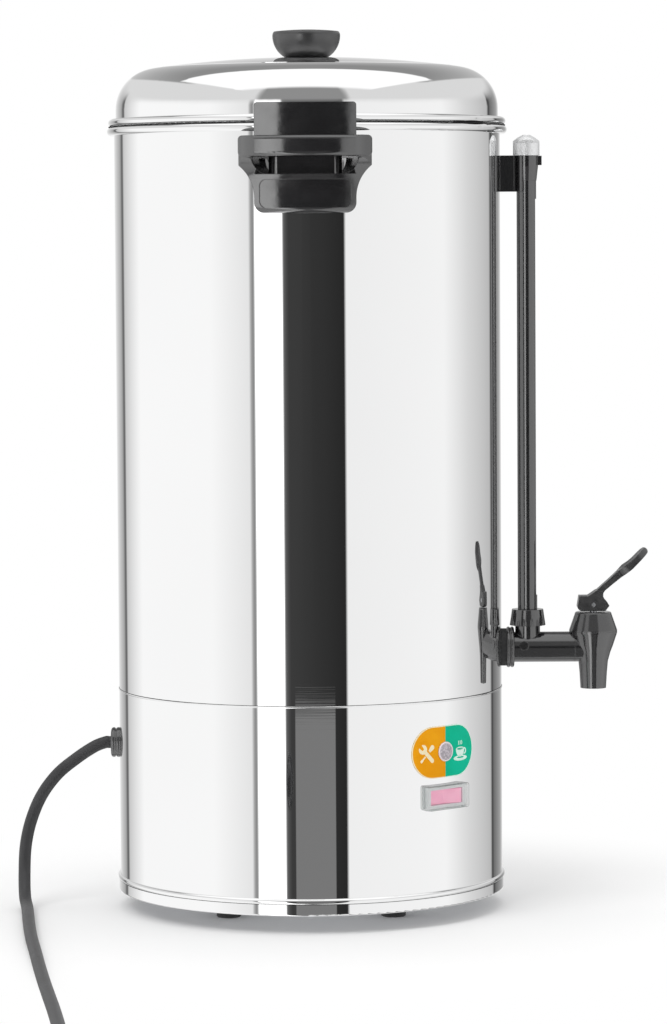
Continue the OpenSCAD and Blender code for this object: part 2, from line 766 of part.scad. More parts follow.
module label_orange() color([0.91, 0.60, 0.09]) label_half(-1);
module label_green() color([0.00, 0.71, 0.56]) label_half(1);

module indicator_lens()
color([0.72, 0.68, 0.70]) facing(switch_az) {
    difference() {
        along_x(body_r - 2, label_z) rotate_extrude($fn = 64) intersection() {
            square([lens_d / 2, 4.4]);
            translate([0, 4.2 - lens_d * 0.9]) circle(r = lens_d * 0.9);
        }
        wall_core();
    }
    along_x(body_r - 6, label_z) cylinder(r = lens_neck_r, h = 7, $fn = 48);
}

module indicator_body()
color([0.85, 0.85, 0.82]) facing(switch_az) along_x(lamp_x, label_z) cylinder(r = 5, h = 14, $fn = 48);

module indicator_nut()
color(black) facing(switch_az) along_x(body_r - 4, label_z) hex_nut(7, 2.6, lens_neck_r + skin);

// ---------------------------------------------------------------- cord

module cord_grip()
color(black) facing(180) difference() {
    union() {
        difference() {
            along_x(body_r - 2, cord_z) rotate_extrude() {
                square([grip_d / 2, 4]);
                translate([0, 4]) square([grip_d / 2 - 0.8, 0.8]);
                translate([grip_d / 2 - 0.8, 4]) circle(r = 0.8, $fn = 32);
                square([grip_d / 2 - 3, grip_out + 2]);
            }
            wall_core();
        }
        along_x(body_r - grip_in, cord_z) cylinder(d = grip_d - 4.4, h = grip_in + grip_out - 1);
    }
    along_x(body_r - grip_in - over, cord_z) cylinder(r = cord_r + skin, h = grip_in + grip_out + 2 * over);
}

module cord_grip_nut()
color(black) facing(180) along_x(body_r - 8, cord_z) hex_nut(10, 6, grip_d / 2 - 2.2 + skin);

module cord_run() color(rubber) tube(smooth(cord_route, 3), cord_r, 10, [1, 1, 1]);

// The coil spirals in on the floor, climbs a layer and spirals out again
coil_rings = 24;
function coil_turn_r(t) = coil_r - coil_step * min(t, 2 * coil_turns - t);
function climb(t) = let (u = min(1, max(0, 2 * (t - coil_turns) + 0.5))) u * u * (3 - 2 * u);
coil_loops = [
    for (k = [0 : 2 * coil_turns * coil_rings])
        let (t = k / coil_rings)
        [coil_x - coil_turn_r(t) * cos(360 * t), coil_y - coil_turn_r(t) * sin(360 * t),
            cord_low + coil_step * climb(t)]
];
coil_path = concat(
    [[coil_x - coil_r, coil_y + cord_d, cord_low]], coil_loops,
    [[coil_x - coil_r, coil_end_y, coil_high]]);

// The least gap between two turns, measured between points over a third of a turn apart
coil_least = min([
    for (i = [0 : len(coil_path) - 1], j = [i + 8 : len(coil_path) - 1]) norm(coil_path[i] - coil_path[j])
]) - cord_d;
echo(coil_least_gap = coil_least);

module cord_coil() color(rubber) tube(coil_path, cord_r, 6, [0, 0, 1]);

module cord_tail() color(rubber) tube(smooth(tail_route, 3), cord_r, 10, [1, 0, 0]);

// A round moulded plug lying on its side, with a ribbed strain relief
module plug_body()
color(black) translate([coil_x - coil_r, tail_end_y, plug_z]) rotate([90, 0, 0]) difference() {
    rotate_extrude() {
        square([6, 16]);
        for (k = [0 : 3]) translate([0, 1 + 4 * k]) square([7, 2]);
        polygon([[0, 15], [7, 15], [12, 20], [15.5, 27], [15.5, plug_l - 12], [0, plug_l - 12]]);
        translate([0, plug_l - 12]) square([plug_r - 1, 12]);
        translate([0, plug_l - 12]) square([plug_r, 11]);
        translate([plug_r - 1, plug_l - 1]) circle(r = 1, $fn = 32);
    }
    for (side = [-1, 1]) translate([-3, side > 0 ? plug_r - 2.5 : -plug_r - 1, plug_l - 14])
        cube([6, 3.5, 20]);
    translate([0, 9.5, plug_l - 10]) cylinder(r = 2.5, h = 20, $fn = 32);
    for (x = [-pin_apart / 2, pin_apart / 2]) translate([x, 0, plug_l - pin_root])
        cylinder(r = pin_root_r + skin, h = 20, $fn = 32);
}

module plug_pins()
color(plated) translate([coil_x - coil_r, tail_end_y, plug_z]) rotate([90, 0, 0])
    for (x = [-pin_apart / 2, pin_apart / 2]) translate([x, 0, plug_l]) {
        translate([0, 0, -pin_root]) cylinder(r = pin_root_r, h = pin_root, $fn = 32);
        cylinder(r = mains_pin_r, h = 18, $fn = 48);
        translate([0, 0, 18]) cylinder(r1 = mains_pin_r, r2 = mains_pin_r - 1, h = 1, $fn = 48);
    }

// ---------------------------------------------------------------- handles

rim_clear = 0.8;
column_x = rim_r + rim_clear + guard_t;
column_corner_r = 5;
bow_r = 100;
bow_corner_r = 26;
block_bow_r = 130;
block_corner_r = 5.5;
bar_edge_r = 2.2;
grip_x = body_r + grip_reach;
grip_end = 7.2;
bar_z = grip_top - grip_h / 2;
side_flare = 22;
front_flare = grip_reach - block_reach;
wing_inset = 1;
finger_w = grip_w - 2 * grip_end;
finger_corner_r = 9;
panel_rim = 2.8;
panel_drop = 0.7;
guard_root = 3;

// Block and wings, seen from the front or the side: low_w wide, flaring to high_w under the bar
module flared(low_w, high_w, flare) {
    low = grip_low - flare;
    translate([0, (handle_low + grip_low) / 2]) rounded(low_w, grip_low - handle_low, block_corner_r);
    difference() {
        translate([-high_w / 2, low]) square([high_w, grip_low + wing_inset - low]);
        for (side = [-1, 1]) translate([side * (low_w / 2 + flare), low]) circle(r = flare);
    }
}

// The plan of bar and wings: a bowed front with round corners, reaching back to the tank
module grip_plan(inset, side, corner_r)
intersection() {
    translate([body_r, 0]) rounded(2 * (grip_reach + over - inset), grip_w + over - 2 * side, corner_r);
    translate([grip_x - bow_r, 0]) circle(r = bow_r - inset, $fn = 192);
}

// The grip bar as a full block: its edges are rounded along the bow and at both ends
module grip_bar()
intersection() {
    rotate([90, 0, 90]) linear_extrude(grip_x + over)
        translate([0, bar_z]) rounded(grip_w, grip_h, bar_edge_r);
    translate([grip_x - bow_r, 0, 0]) rotate_extrude($fn = 192) intersection() {
        translate([0, bar_z]) rounded(2 * bow_r, grip_h, bar_edge_r);
        translate([0, bar_z - grip_h]) square([bow_r + over, 2 * grip_h]);
    }
    translate([body_r, 0, grip_low - over]) linear_extrude(grip_h + 2 * over)
        rounded(2 * (grip_reach + over), grip_w + over, bow_corner_r);
}

// The block and the wings below the bar, with a panel sunk into the block's bowed face
module grip_block()
difference() {
    intersection() {
        rotate([90, 0, 90]) linear_extrude(grip_x + over) flared(block_w, grip_w - 0.6, side_flare);
        translate([body_r + block_reach - block_bow_r, 0, 0]) rotate_extrude($fn = 192) intersection() {
            flared(2 * block_bow_r, 2 * (block_bow_r + front_flare), front_flare);
            translate([0, handle_low - over]) square([2 * block_bow_r, grip_h + grip_low - handle_low]);
        }
        translate([0, 0, handle_low - over]) linear_extrude(grip_top - handle_low)
            grip_plan(wing_inset, 0, bow_corner_r);
    }
    difference() {
        translate([body_r, 0, 0]) rotate([90, 0, 90]) linear_extrude(grip_reach)
            translate([0, (handle_low + block_top) / 2]) rounded(
                block_w - 2 * panel_rim, block_top - handle_low - 2 * panel_rim, block_corner_r - 2);
        translate([body_r + block_reach - block_bow_r, 0, handle_low - over])
            cylinder(r = block_bow_r - panel_drop, h = grip_h + grip_low - handle_low, $fn = 192);
    }
}

// The finger gap seen from the front: as wide as the hollow above, with round lower corners
module finger_outline()
intersection() {
    translate([0, grip_low]) rounded(finger_w, 2 * finger_h, finger_corner_r);
    translate([-grip_w / 2, block_top - over]) square([grip_w, finger_h + over]);
}

// One moulded handle pointing along +X
module handle()
difference() {
    union() {
        difference() {
            union() {
                grip_bar();
                grip_block();
            }
            translate([0, 0, block_top]) linear_extrude(grip_top - block_top + over) difference() {
                grip_plan(grip_t, grip_end + over / 2, bow_corner_r - grip_t);
                square([2 * column_x, 2 * grip_w], center = true);
            }
            rotate([90, 0, 90]) linear_extrude(grip_x + over) finger_outline();
        }
        translate([body_r - 10, 0, handle_low + 4]) linear_extrude(grip_top - handle_low - 4)
            rounded(2 * (column_x - body_r + 10), column_w, column_corner_r);
        intersection() {
            translate([0, 0, grip_top - guard_root])
                cylinder(r = column_x, h = guard_top - grip_top + guard_root, $fn = 192);
            rotate([90, 0, 90]) linear_extrude(column_x + over)
                translate([0, (grip_top + guard_top - guard_root) / 2])
                    rounded(guard_w, guard_top - grip_top + guard_root, 1.8);
        }
    }
    wall_core();
    translate([0, 0, grip_top]) cylinder(r = rim_r + rim_clear, h = 2 * guard_rise + 10, $fn = 192);
    for (z = handle_screw_zs) along_x(body_r - 4, z) cylinder(r = hole_r, h = 15, $fn = 48);
}

module handle_left() color(black) facing(-90) handle();
module handle_right() color(black) facing(90) handle();

module handle_screws()
color(plated) for (az = [-90, 90], z = handle_screw_zs)
    facing(az) along_x(inner_r - 0.15, z) pan_screw(10);

// ---------------------------------------------------------------- lid

// The lid's turned outline, drawn in by an inset
module lid_outline(inset)
intersection() {
    translate([0, dome_z]) circle(r = dome_r - inset, $fn = 1440);
    union() {
        translate([0, lid_z - over]) square([lid_r - inset, lid_side_h + over]);
        square([shoulder_x, lid_top_z]);
        translate([shoulder_x, shoulder_z]) circle(r = shoulder_r - inset, $fn = 192);
    }
    translate([0, lid_z - over]) square([body_r, lid_top_z]);
}

module lid_shell()
color(steel) difference() {
    rotate_extrude($fn = 192) {
        difference() {
            lid_outline(0);
            lid_outline(sheet);
            translate([0, lid_z - 2 * over]) square([body_r, 2 * over]);
        }
        rolled_edge(body_r, lid_bead_out, lid_z, lid_bead_h);
        translate([inner_r - skirt_play - sheet, lid_z - skirt_h]) square([sheet, skirt_h + lid_bead_h / 2]);
        translate([inner_r - skirt_play - sheet, lid_z]) square([skirt_play + sheet, lid_bead_h / 2]);
    }
    translate([0, 0, lid_top_z - 10]) cylinder(r = knob_hole_r, h = 20, $fn = 48);
    notch(lid_z, 1);
}

knob_low = lid_top_z + 0.4;
knob_edge_r = 3.2;
knob_top_r = 160;
// The bowl's side: an arc from the widest place, knob_edge_r below the top, in to the foot
knob_side_h = knob_h - knob_edge_r;
knob_side_in = (knob_d - knob_foot_d) / 2;
knob_side_r = (pow(knob_side_h, 2) + pow(knob_side_in, 2)) / (2 * knob_side_in);

// A bowl-shaped knob: its side swells out from a narrow foot to a round upper edge
module lid_knob()
color(black) difference() {
    translate([0, 0, knob_low]) rotate_extrude() intersection() {
        union() {
            square([knob_foot_d / 2 - 1, knob_h]);
            translate([knob_d / 2 - knob_side_r, knob_h - knob_edge_r]) circle(r = knob_side_r, $fn = 192);
        }
        rounded(knob_d, 2 * knob_h, knob_edge_r);
        translate([0, knob_h - knob_top_r]) circle(r = knob_top_r, $fn = 720);
        square([knob_d, knob_h]);
    }
    translate([0, 0, knob_low - over]) cylinder(r = knob_hole_r, h = 10 + over, $fn = 48);
}

module knob_washer()
color(rubber) translate([0, 0, lid_top_z]) ring(knob_foot_d / 2 - 1, knob_hole_r, knob_low - lid_top_z);

module knob_screw() color(plated) translate([0, 0, lid_top_z - sheet - 0.05]) pan_screw(9.5);

// ---------------------------------------------------------------- gauge

module tap_shank()
color(black) difference() {
    union() {
        along_x(body_r - 14.5, tap_z) cylinder(d = thread_d, h = 14.5 + washer_t + 1);
        along_x(body_r + washer_t, tap_z) cylinder(d = flange_d, h = flange_t);
        along_x(body_r + washer_t + 1, tap_z) cylinder(d = shank_d, h = socket_x - body_r - washer_t - 1);
        along_x(socket_x - 1, tap_z) cylinder(r = spigot_r, h = spigot_l + 1);
        translate([gauge_x, 0, tap_z]) cylinder(r = neck_r + 0.6, h = coupling_z - tap_z);
        translate([gauge_x, 0, tap_z]) cylinder(r = neck_r, h = coupling_z - tap_z + 5.2);
        translate([gauge_x - 2.3, 0, tap_z + 1.4]) rotate([90, 0, 0])
            cylinder(d = 5, h = shank_d / 2 + 0.6, $fn = 32);
    }
    along_x(body_r - 16, tap_z) cylinder(d = shank_bore, h = tap_reach + 16);
    translate([gauge_x, 0, tap_z]) cylinder(r = glass_r - glass_t, h = 30, $fn = 48);
    translate([gauge_x, 0, glass_low - 0.1]) cylinder(r = glass_r + skin, h = 30, $fn = 48);
}

module shank_washers()
color(rubber) {
    difference() {
        along_x(body_r - 2, tap_z) cylinder(d = flange_d - 1, h = washer_t + 2);
        along_x(body_r - 6, tap_z) cylinder(d = thread_d + 0.2, h = 20);
        wall_core();
    }
    difference() {
        intersection() {
            along_x(inner_r - 2.6, tap_z) cylinder(d = flange_d - 1, h = 4);
            cylinder(r = inner_r - skin, h = tap_z + 20, $fn = 192);
        }
        along_x(body_r - 6, tap_z) cylinder(d = thread_d + 0.2, h = 20);
    }
}

module shank_nut()
color(plated) along_x(inner_r - 2.6 - 6, tap_z) hex_nut(12, 6, thread_d / 2 + skin);

neck_r = 6.4;
rib_count = 16;
coupling_top_d = coupling_d - 2.5;

// The union nut that clamps the glass tube: a ribbed cone with the seal in its throat
module gauge_nut()
color(black) translate([gauge_x, 0, coupling_z]) difference() {
    cylinder(d1 = coupling_d, d2 = coupling_top_d, h = coupling_h);
    translate([0, 0, -over]) cylinder(r = neck_r + skin, h = over + 7);
    cylinder(r = glass_r + glass_play, h = 2 * coupling_h, $fn = 48);
    for (k = [0 : rib_count - 1]) rotate([0, 0, (k + 0.5) * 360 / rib_count])
        translate([coupling_d / 2 + 0.5, 0, -over]) cylinder(r = 1.1, h = coupling_h + 2 * over, $fn = 24);
}

module ring(outer_r, bore_r, h) difference() {
    cylinder(r = outer_r, h = h, $fn = 48);
    translate([0, 0, -over]) cylinder(r = bore_r, h = h + 2 * over, $fn = 48);
}

module gauge_seals()
color(rubber) {
    translate([gauge_x, 0, coupling_z + 5.3]) ring(neck_r - 0.1, glass_r + skin, 1.6);
    translate([gauge_x, 0, bracket_top + 0.1]) ring(glass_r + 1.1, glass_r + skin, 2);
}

module gauge_glass()
color([0.85, 0.92, 0.95, 0.4]) translate([gauge_x, 0, glass_low])
    ring(glass_r, glass_r - glass_t, glass_top - glass_low);

// A channel round the glass, open to the front so that the level shows
module gauge_guard()
color(black) difference() {
    translate([gauge_x, 0, coupling_top]) ring(guard_r, glass_r + glass_play, bracket_top - coupling_top);
    translate([gauge_x, -slot_w / 2, coupling_top + 8])
        cube([guard_d, slot_w, bracket_low - coupling_top - 12]);
}

bracket_r = guard_r + 1.1;
taper_z = bracket_top - 6;

module gauge_bracket()
color(black) difference() {
    union() {
        translate([body_r - 4, -web_t / 2, bracket_low]) cube([gauge_reach + 4 - 2, web_t, bracket_h]);
        translate([body_r - 4, -bracket_r, bracket_low])
            cube([gauge_reach + 4 - bracket_r - 0.4, 2 * bracket_r, bracket_h]);
        translate([gauge_x, 0, taper_z]) cylinder(r = bracket_r, h = bracket_top - taper_z);
        translate([gauge_x, 0, taper_z - 8]) cylinder(r1 = guard_r + 0.2, r2 = bracket_r, h = 8);
        intersection() {
            translate([gauge_x, 0, bracket_low]) cylinder(r = bracket_r, h = bracket_h);
            translate([0, -bracket_r, bracket_low]) cube([gauge_x - 2, 2 * bracket_r, bracket_h]);
        }
        translate([gauge_x, -2.5, bracket_top - 5.4]) cube([guard_r + 3, 5, 5.2]);
    }
    wall_core();
    translate([gauge_x, 0, bracket_low - over]) cylinder(r = guard_r + skin, h = bracket_h + 2 * over);
    along_x(body_r - 4, bracket_hole_z) cylinder(r = hole_r, h = 4 + 6.8, $fn = 48);
}

module bracket_screw() color(plated) along_x(inner_r - 0.15, bracket_hole_z) pan_screw(7.2);

// A plated cap: a round skirt under a chamfered hexagon, with a small vent
module gauge_cap()
color(steel) translate([gauge_x, 0, bracket_top]) difference() {
    union() {
        cylinder(d = cap_d, h = cap_h - 4.6);
        intersection() {
            cylinder(d = cap_d, h = cap_h, $fn = 6);
            rotate_extrude() polygon([[0, 0], [cap_d / 2, 0], [cap_d / 2, cap_h - 3.4],
                [cap_d / 2 - 2.6, cap_h - 1.4], [2.2, cap_h], [0, cap_h]]);
        }
    }
    translate([0, 0, -over]) cylinder(r = glass_r + 1.2, h = over + 4.5, $fn = 48);
    cylinder(r = 0.8, h = cap_h + over, $fn = 24);
}

// ---------------------------------------------------------------- tap

spigot_r = 6.2;
spigot_l = 2.5;
socket_x = tap_x - 10.5;

// The turned outline of the tap's body: a spout that flares up to the bonnet's seat
module tap_outline() {
    h = tap_top_z - spout_z;
    polygon([[0, 0], [spout_d / 2, 0], [spout_d / 2 + 0.5, 0.27 * h], [spout_d / 2 + 1.1, 0.47 * h],
        [spout_d / 2 + 2.5, 0.63 * h], [spout_d / 2 + 4, 0.75 * h], [tap_d / 2 - 0.4, 0.93 * h],
        [tap_d / 2, 0.97 * h], [tap_d / 2, h], [0, h]]);
}

module tap_body()
color(black) difference() {
    union() {
        difference() {
            translate([tap_x, 0, spout_z]) rotate_extrude() tap_outline();
            along_x(tap_x - 24, tap_z) cylinder(r = shank_d / 2 + skin, h = socket_x - tap_x + 24);
        }
        along_x(socket_x, tap_z) cylinder(d = shank_d, h = tap_x - socket_x);
    }
    translate([tap_x, 0, seat_z]) cylinder(r = chamber_r, h = 30);
    translate([tap_x, 0, spout_z - over]) cylinder(d = spout_bore, h = 30);
    along_x(socket_x - over, tap_z) cylinder(r = spigot_r + skin, h = spigot_l + over + 0.1);
    along_x(socket_x - over, tap_z) cylinder(d = shank_bore, h = tap_x - socket_x + over);
}

// The bonnet: a turned cone over the valve chamber, its top edge rounded
module tap_bonnet()
color(black) translate([tap_x, 0, tap_top_z]) difference() {
    rotate_extrude() {
        polygon([[0, 0], [tap_d / 2, 0], [tap_d / 2, 0.6], [bonnet_d / 2, bonnet_h - bonnet_edge_r],
            [bonnet_d / 2 - bonnet_edge_r, bonnet_h], [0, bonnet_h]]);
        translate([bonnet_d / 2 - bonnet_edge_r, bonnet_h - bonnet_edge_r])
            circle(r = bonnet_edge_r, $fn = 32);
    }
    translate([0, 0, -over]) cylinder(r = chamber_r, h = over + bonnet_under - tap_top_z);
    cylinder(r = stem_r + run_gap, h = bonnet_h + over, $fn = 48);
}

module tap_stem()
color(plated) difference() {
    translate([tap_x, 0, cup_z + 1.6]) cylinder(r = stem_r, h = pin_z + 1.8 - cup_z - 1.6, $fn = 48);
    translate([tap_x, 0, pin_z]) rotate([90, 0, 0])
        cylinder(r = pin_r + run_gap, h = 20, center = true, $fn = 48);
}

module seat_cup()
color([0.85, 0.85, 0.83]) translate([tap_x, 0, cup_z]) difference() {
    union() {
        cylinder(r = cup_r, h = cup_h);
        translate([0, 0, -1.2]) cylinder(r1 = spout_bore / 2 - 1.6, r2 = spout_bore / 2 - 0.5, h = 1.3);
        cylinder(r = spring_r - spring_wire, h = cup_h + 1.8);
    }
    translate([0, 0, 1.6]) cylinder(r = stem_r + 0.02, h = cup_h + 4, $fn = 48);
}

// The closing spring round the stem, between the cup's shoulder and the bonnet
spring_low_z = cup_z + cup_h + spring_wire / 2 + 0.2;
spring_high_z = bonnet_under - spring_wire / 2 - 0.2;
spring_path = [
    for (k = [0 : spring_curls * 8])
        [tap_x + spring_r * cos(45 * k), spring_r * sin(45 * k),
            spring_low_z + (spring_high_z - spring_low_z) * k / (spring_curls * 8)]
];
echo(spring_least_gap = (spring_high_z - spring_low_z) / spring_curls - spring_wire);

module tap_spring() color(plated) tube(spring_path, spring_wire / 2, 6, [0, 0, 1]);

pad_l = 22;
hub_low = -pin_rise + 0.7;
slot_half = stem_r + slide_gap;
// The arm's side view along its slope: places, heights and radii of the rounds it is drawn over
arm_rounds = [[2, 3.4, 1.5], [16, 3.6, 1.7], [30, 3.9, 2.3], [arm_length - 1.7, 4.6, 1.7]];

// The lever: a hub that straddles the stem, an arm and a scooped finger pad
module tap_lever()
color(black) translate([tap_x, 0, pin_z]) difference() {
    union() {
        translate([0, hub_w / 2, 0]) rotate([90, 0, 0]) linear_extrude(hub_w) polygon([
            [-9, -1.2], [-8.4, -2.6], [-7, hub_low], [6.6, hub_low], [8.9, -0.6], [7.6, 1.6], [6.1, 3.2],
            [5.4, 4.8], [5.5, 6.6], [6.4, 8], [1.6, 8], [-3, 4.9], [-8, 4.9]]);
        intersection() {
            rotate([90, -arm_angle, 0]) linear_extrude(pad_w + over, center = true)
                for (i = [1 : len(arm_rounds) - 1]) hull() for (a = [arm_rounds[i - 1], arm_rounds[i]])
                    translate([a[0], a[1]]) circle(r = a[2], $fn = 48);
            rotate([0, -arm_angle, 0]) linear_extrude(4 * arm_rounds[0][1], center = true) {
                translate([0, -hub_w / 2 + 1.5]) square([arm_length - pad_l / 2, hub_w - 3]);
                translate([arm_length - pad_l / 2, 0]) stadium(pad_l, pad_w);
            }
        }
    }
    rotate([0, -arm_angle, 0]) translate([arm_length - pad_l / 2, 0, 35]) sphere(r = 30.4, $fn = 96);
    translate([-3.9, -slot_half, hub_low - over]) cube([9, 2 * slot_half, over - hub_low + 2.9]);
    rotate([90, 0, 0]) cylinder(r = pin_r + 0.02, h = 2 * hub_w, center = true, $fn = 48);
}

module lever_pin()
color(plated) translate([tap_x, 0, pin_z]) rotate([90, 0, 0])
    cylinder(r = pin_r, h = hub_w, center = true, $fn = 48);

// ---------------------------------------------------------------- all pieces

tank_shell();
base_shell();
base_plate();
base_screws();
feet();
foot_screws();
foot_nuts();
heater_plate();
heating_element();
thermostat();
thermal_cutout();
sensor_screws();
terminal_block();
block_screws();
earth_stud();
inner_wires();
lead_inside();
switch_frame();
switch_terminals();
switch_rocker();
switch_cover();
indicator_lens();
indicator_body();
indicator_nut();
label_orange();
label_green();
cord_grip();
cord_grip_nut();
cord_run();
cord_coil();
cord_tail();
plug_body();
plug_pins();
handle_left();
handle_right();
handle_screws();
lid_shell();
lid_knob();
knob_washer();
knob_screw();
tap_shank();
shank_washers();
shank_nut();
gauge_nut();
gauge_seals();
gauge_glass();
gauge_guard();
gauge_bracket();
bracket_screw();
gauge_cap();
tap_body();
tap_bonnet();
tap_stem();
seat_cup();
tap_spring();
tap_lever();
lever_pin();
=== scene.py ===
import math

import bmesh
import bpy
import numpy as np
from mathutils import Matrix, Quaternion, Vector


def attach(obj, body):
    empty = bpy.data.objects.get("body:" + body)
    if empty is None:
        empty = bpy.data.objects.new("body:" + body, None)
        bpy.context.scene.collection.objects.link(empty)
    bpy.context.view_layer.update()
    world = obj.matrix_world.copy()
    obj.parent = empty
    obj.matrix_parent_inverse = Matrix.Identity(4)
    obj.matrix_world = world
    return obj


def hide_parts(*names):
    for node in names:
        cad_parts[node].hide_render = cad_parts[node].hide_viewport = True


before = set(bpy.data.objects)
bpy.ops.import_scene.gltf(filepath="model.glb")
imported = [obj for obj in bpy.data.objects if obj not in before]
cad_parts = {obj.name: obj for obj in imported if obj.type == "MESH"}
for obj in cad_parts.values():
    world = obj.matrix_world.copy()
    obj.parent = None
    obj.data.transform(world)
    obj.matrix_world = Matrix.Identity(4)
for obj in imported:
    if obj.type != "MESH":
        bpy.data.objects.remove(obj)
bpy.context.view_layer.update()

# ---------------------------------------------------------------- camera
# A long lens stands 2.34 m in front of the urn's side, 38 cm above the table, and looks
# 3.8 degrees down, a little off level. The urn stands left of the picture's middle.
CAMERA_AWAY = 2.3418
CAMERA_HEIGHT = 0.3788
CAMERA_DOWN = math.radians(3.848)
CAMERA_ROLL = -0.0065
CAMERA_SIDE = math.radians(0.45)

camera_data = bpy.data.cameras.new("camera")
camera_data.sensor_width = 36
camera_data.lens = 146.995
camera_data.shift_x = 0.02363
camera = bpy.data.objects.new("camera", camera_data)
camera.rotation_mode = "QUATERNION"
camera.location = (CAMERA_AWAY * math.sin(CAMERA_SIDE), -CAMERA_AWAY * math.cos(CAMERA_SIDE), CAMERA_HEIGHT)
camera.rotation_quaternion = (
    Quaternion((0, 0, 1), CAMERA_SIDE) @ Quaternion((1, 0, 0), math.pi / 2 - CAMERA_DOWN)
    @ Quaternion((0, 0, 1), CAMERA_ROLL))
bpy.context.scene.collection.objects.link(camera)
bpy.context.scene.camera = camera
bpy.context.scene.view_settings.view_transform = "Standard"

# ---------------------------------------------------------------- cord and plug
# The mains lead is a satin sheath 6.8 mm thick. It drops from its grip to the table, runs
# forward and is put away in a coil, with its plug beside it.
CORD_D = 0.0068
CORD_R = CORD_D / 2
CORD_EXIT = (-0.1125, 0, 0.092)
CORD_LOW = CORD_R + 0.0001
COIL_CENTRE = (-0.067, -0.484)
COIL_R = 0.045
COIL_TURNS = 2
COIL_STEP = CORD_D + 0.0006
COIL_HIGH = CORD_LOW + COIL_STEP
COIL_X = COIL_CENTRE[0] - COIL_R
COIL_END_Y = COIL_CENTRE[1] - CORD_D
PLUG_Z = 0.0186
PLUG_Y = COIL_END_Y - 0.062

CORD_ROUTE = [
    CORD_EXIT, (-0.114, 0, 0.092), (-0.1155, 0, 0.092), (-0.122, 0, 0.0895),
    (-0.132, 0, 0.083), (-0.143, 0, 0.074), (-0.152, 0, 0.062), (-0.158, -0.001, 0.048),
    (-0.161, -0.004, 0.034), (-0.1615, -0.009, 0.019), (-0.1605, -0.020, 0.008),
    (-0.158, -0.036, CORD_LOW), (-0.154, -0.080, CORD_LOW),
    (-0.149, -0.130, CORD_LOW), (-0.143, -0.180, CORD_LOW), (-0.138, -0.222, CORD_LOW),
    (-0.133, -0.262, CORD_LOW), (-0.128, -0.300, CORD_LOW), (-0.122, -0.345, CORD_LOW),
    (-0.116, -0.395, CORD_LOW), (COIL_X, -0.440, CORD_LOW),
    (COIL_X, COIL_CENTRE[1] + CORD_D, CORD_LOW),
]
TAIL_ROUTE = [
    (COIL_X, COIL_END_Y, COIL_HIGH), (COIL_X, COIL_END_Y - 0.010, COIL_HIGH),
    (COIL_X, COIL_END_Y - 0.030, (COIL_HIGH + PLUG_Z) / 2), (COIL_X, PLUG_Y + 0.012, PLUG_Z),
    (COIL_X, PLUG_Y, PLUG_Z),
]


def smooth_route(route, steps):
    """A smooth curve through the points of a route."""
    points = np.array(route, float)
    points = np.vstack([2 * points[0] - points[1], points, 2 * points[-1] - points[-2]])
    curve = []
    for i in range(len(route) - 1):
        a, b, c, d = points[i:i + 4]
        for t in np.arange(steps) / steps:
            curve.append(0.5 * (2 * b + (c - a) * t + (2 * a - 5 * b + 4 * c - d) * t ** 2
                                + (3 * b - a - 3 * c + d) * t ** 3))
    return curve + [points[-2]]


def coil_point(turn):
    """A point of the coil: it spirals in on the table, climbs a layer and spirals out."""
    radius = COIL_R - COIL_STEP * min(turn, 2 * COIL_TURNS - turn)
    rise = min(1.0, max(0.0, 2 * (turn - COIL_TURNS) + 0.5))
    angle = 2 * math.pi * turn
    return np.array([COIL_CENTRE[0] - radius * math.cos(angle),
                     COIL_CENTRE[1] - radius * math.sin(angle),
                     CORD_LOW + COIL_STEP * rise * rise * (3 - 2 * rise)])


def shown(name, mesh, finish):
    """A new object that shows a mesh in a finish."""
    mesh.materials.append(finish)
    piece = bpy.data.objects.new(name, mesh)
    bpy.context.scene.collection.objects.link(piece)
    return piece


def swept_tube(name, path, radius, sides, finish):
    """A closed tube round a path, with a UV map that runs along it in metres."""
    path = np.array(path)
    ahead = np.gradient(path, axis=0)
    ahead /= np.linalg.norm(ahead, axis=1)[:, None]
    across = np.cross(ahead[0], (0, 1, 0.3))
    rings, spans = [], np.linalg.norm(np.diff(path, axis=0), axis=1)
    along = np.concatenate([[0], np.cumsum(spans)])
    turns = np.arange(sides) * 2 * math.pi / sides
    for point, direction in zip(path, ahead):
        across = across - direction * np.dot(across, direction)
        across /= np.linalg.norm(across)
        other = np.cross(direction, across)
        rings.append(point + radius * (np.outer(np.cos(turns), across) + np.outer(np.sin(turns), other)))
    faces = [[i * sides + k, i * sides + (k + 1) % sides, (i + 1) * sides + (k + 1) % sides,
              (i + 1) * sides + k] for i in range(len(path) - 1) for k in range(sides)]
    last = (len(path) - 1) * sides
    faces += [list(range(sides))[::-1], list(range(last, last + sides))]
    mesh = bpy.data.meshes.new(name)
    mesh.from_pydata(np.vstack(rings).tolist(), [], faces)
    layer = mesh.uv_layers.new(name="along")
    for polygon in mesh.polygons:
        seam = polygon.index % sides == sides - 1 and len(polygon.vertices) == 4
        for loop, vertex in zip(polygon.loop_indices, polygon.vertices):
            side = vertex % sides
            around = sides if seam and side == 0 else side
            layer.data[loop].uv = (around / sides, along[vertex // sides])
        polygon.use_smooth = len(polygon.vertices) == 4
    return shown(name, mesh, finish)


def material(name, colour, metallic=0.0, roughness=0.5, **sockets):
    """A material and its main shader; other sockets are set by name, with _ for a space."""
    made = bpy.data.materials.new(name)
    made.use_nodes = True
    main = made.node_tree.nodes["Principled BSDF"]
    main.inputs["Base Color"].default_value = (*colour, 1)
    main.inputs["Metallic"].default_value = metallic
    main.inputs["Roughness"].default_value = roughness
    for socket, value in sockets.items():
        main.inputs[socket.replace("_", " ")].default_value = value
    return made, made.node_tree, main


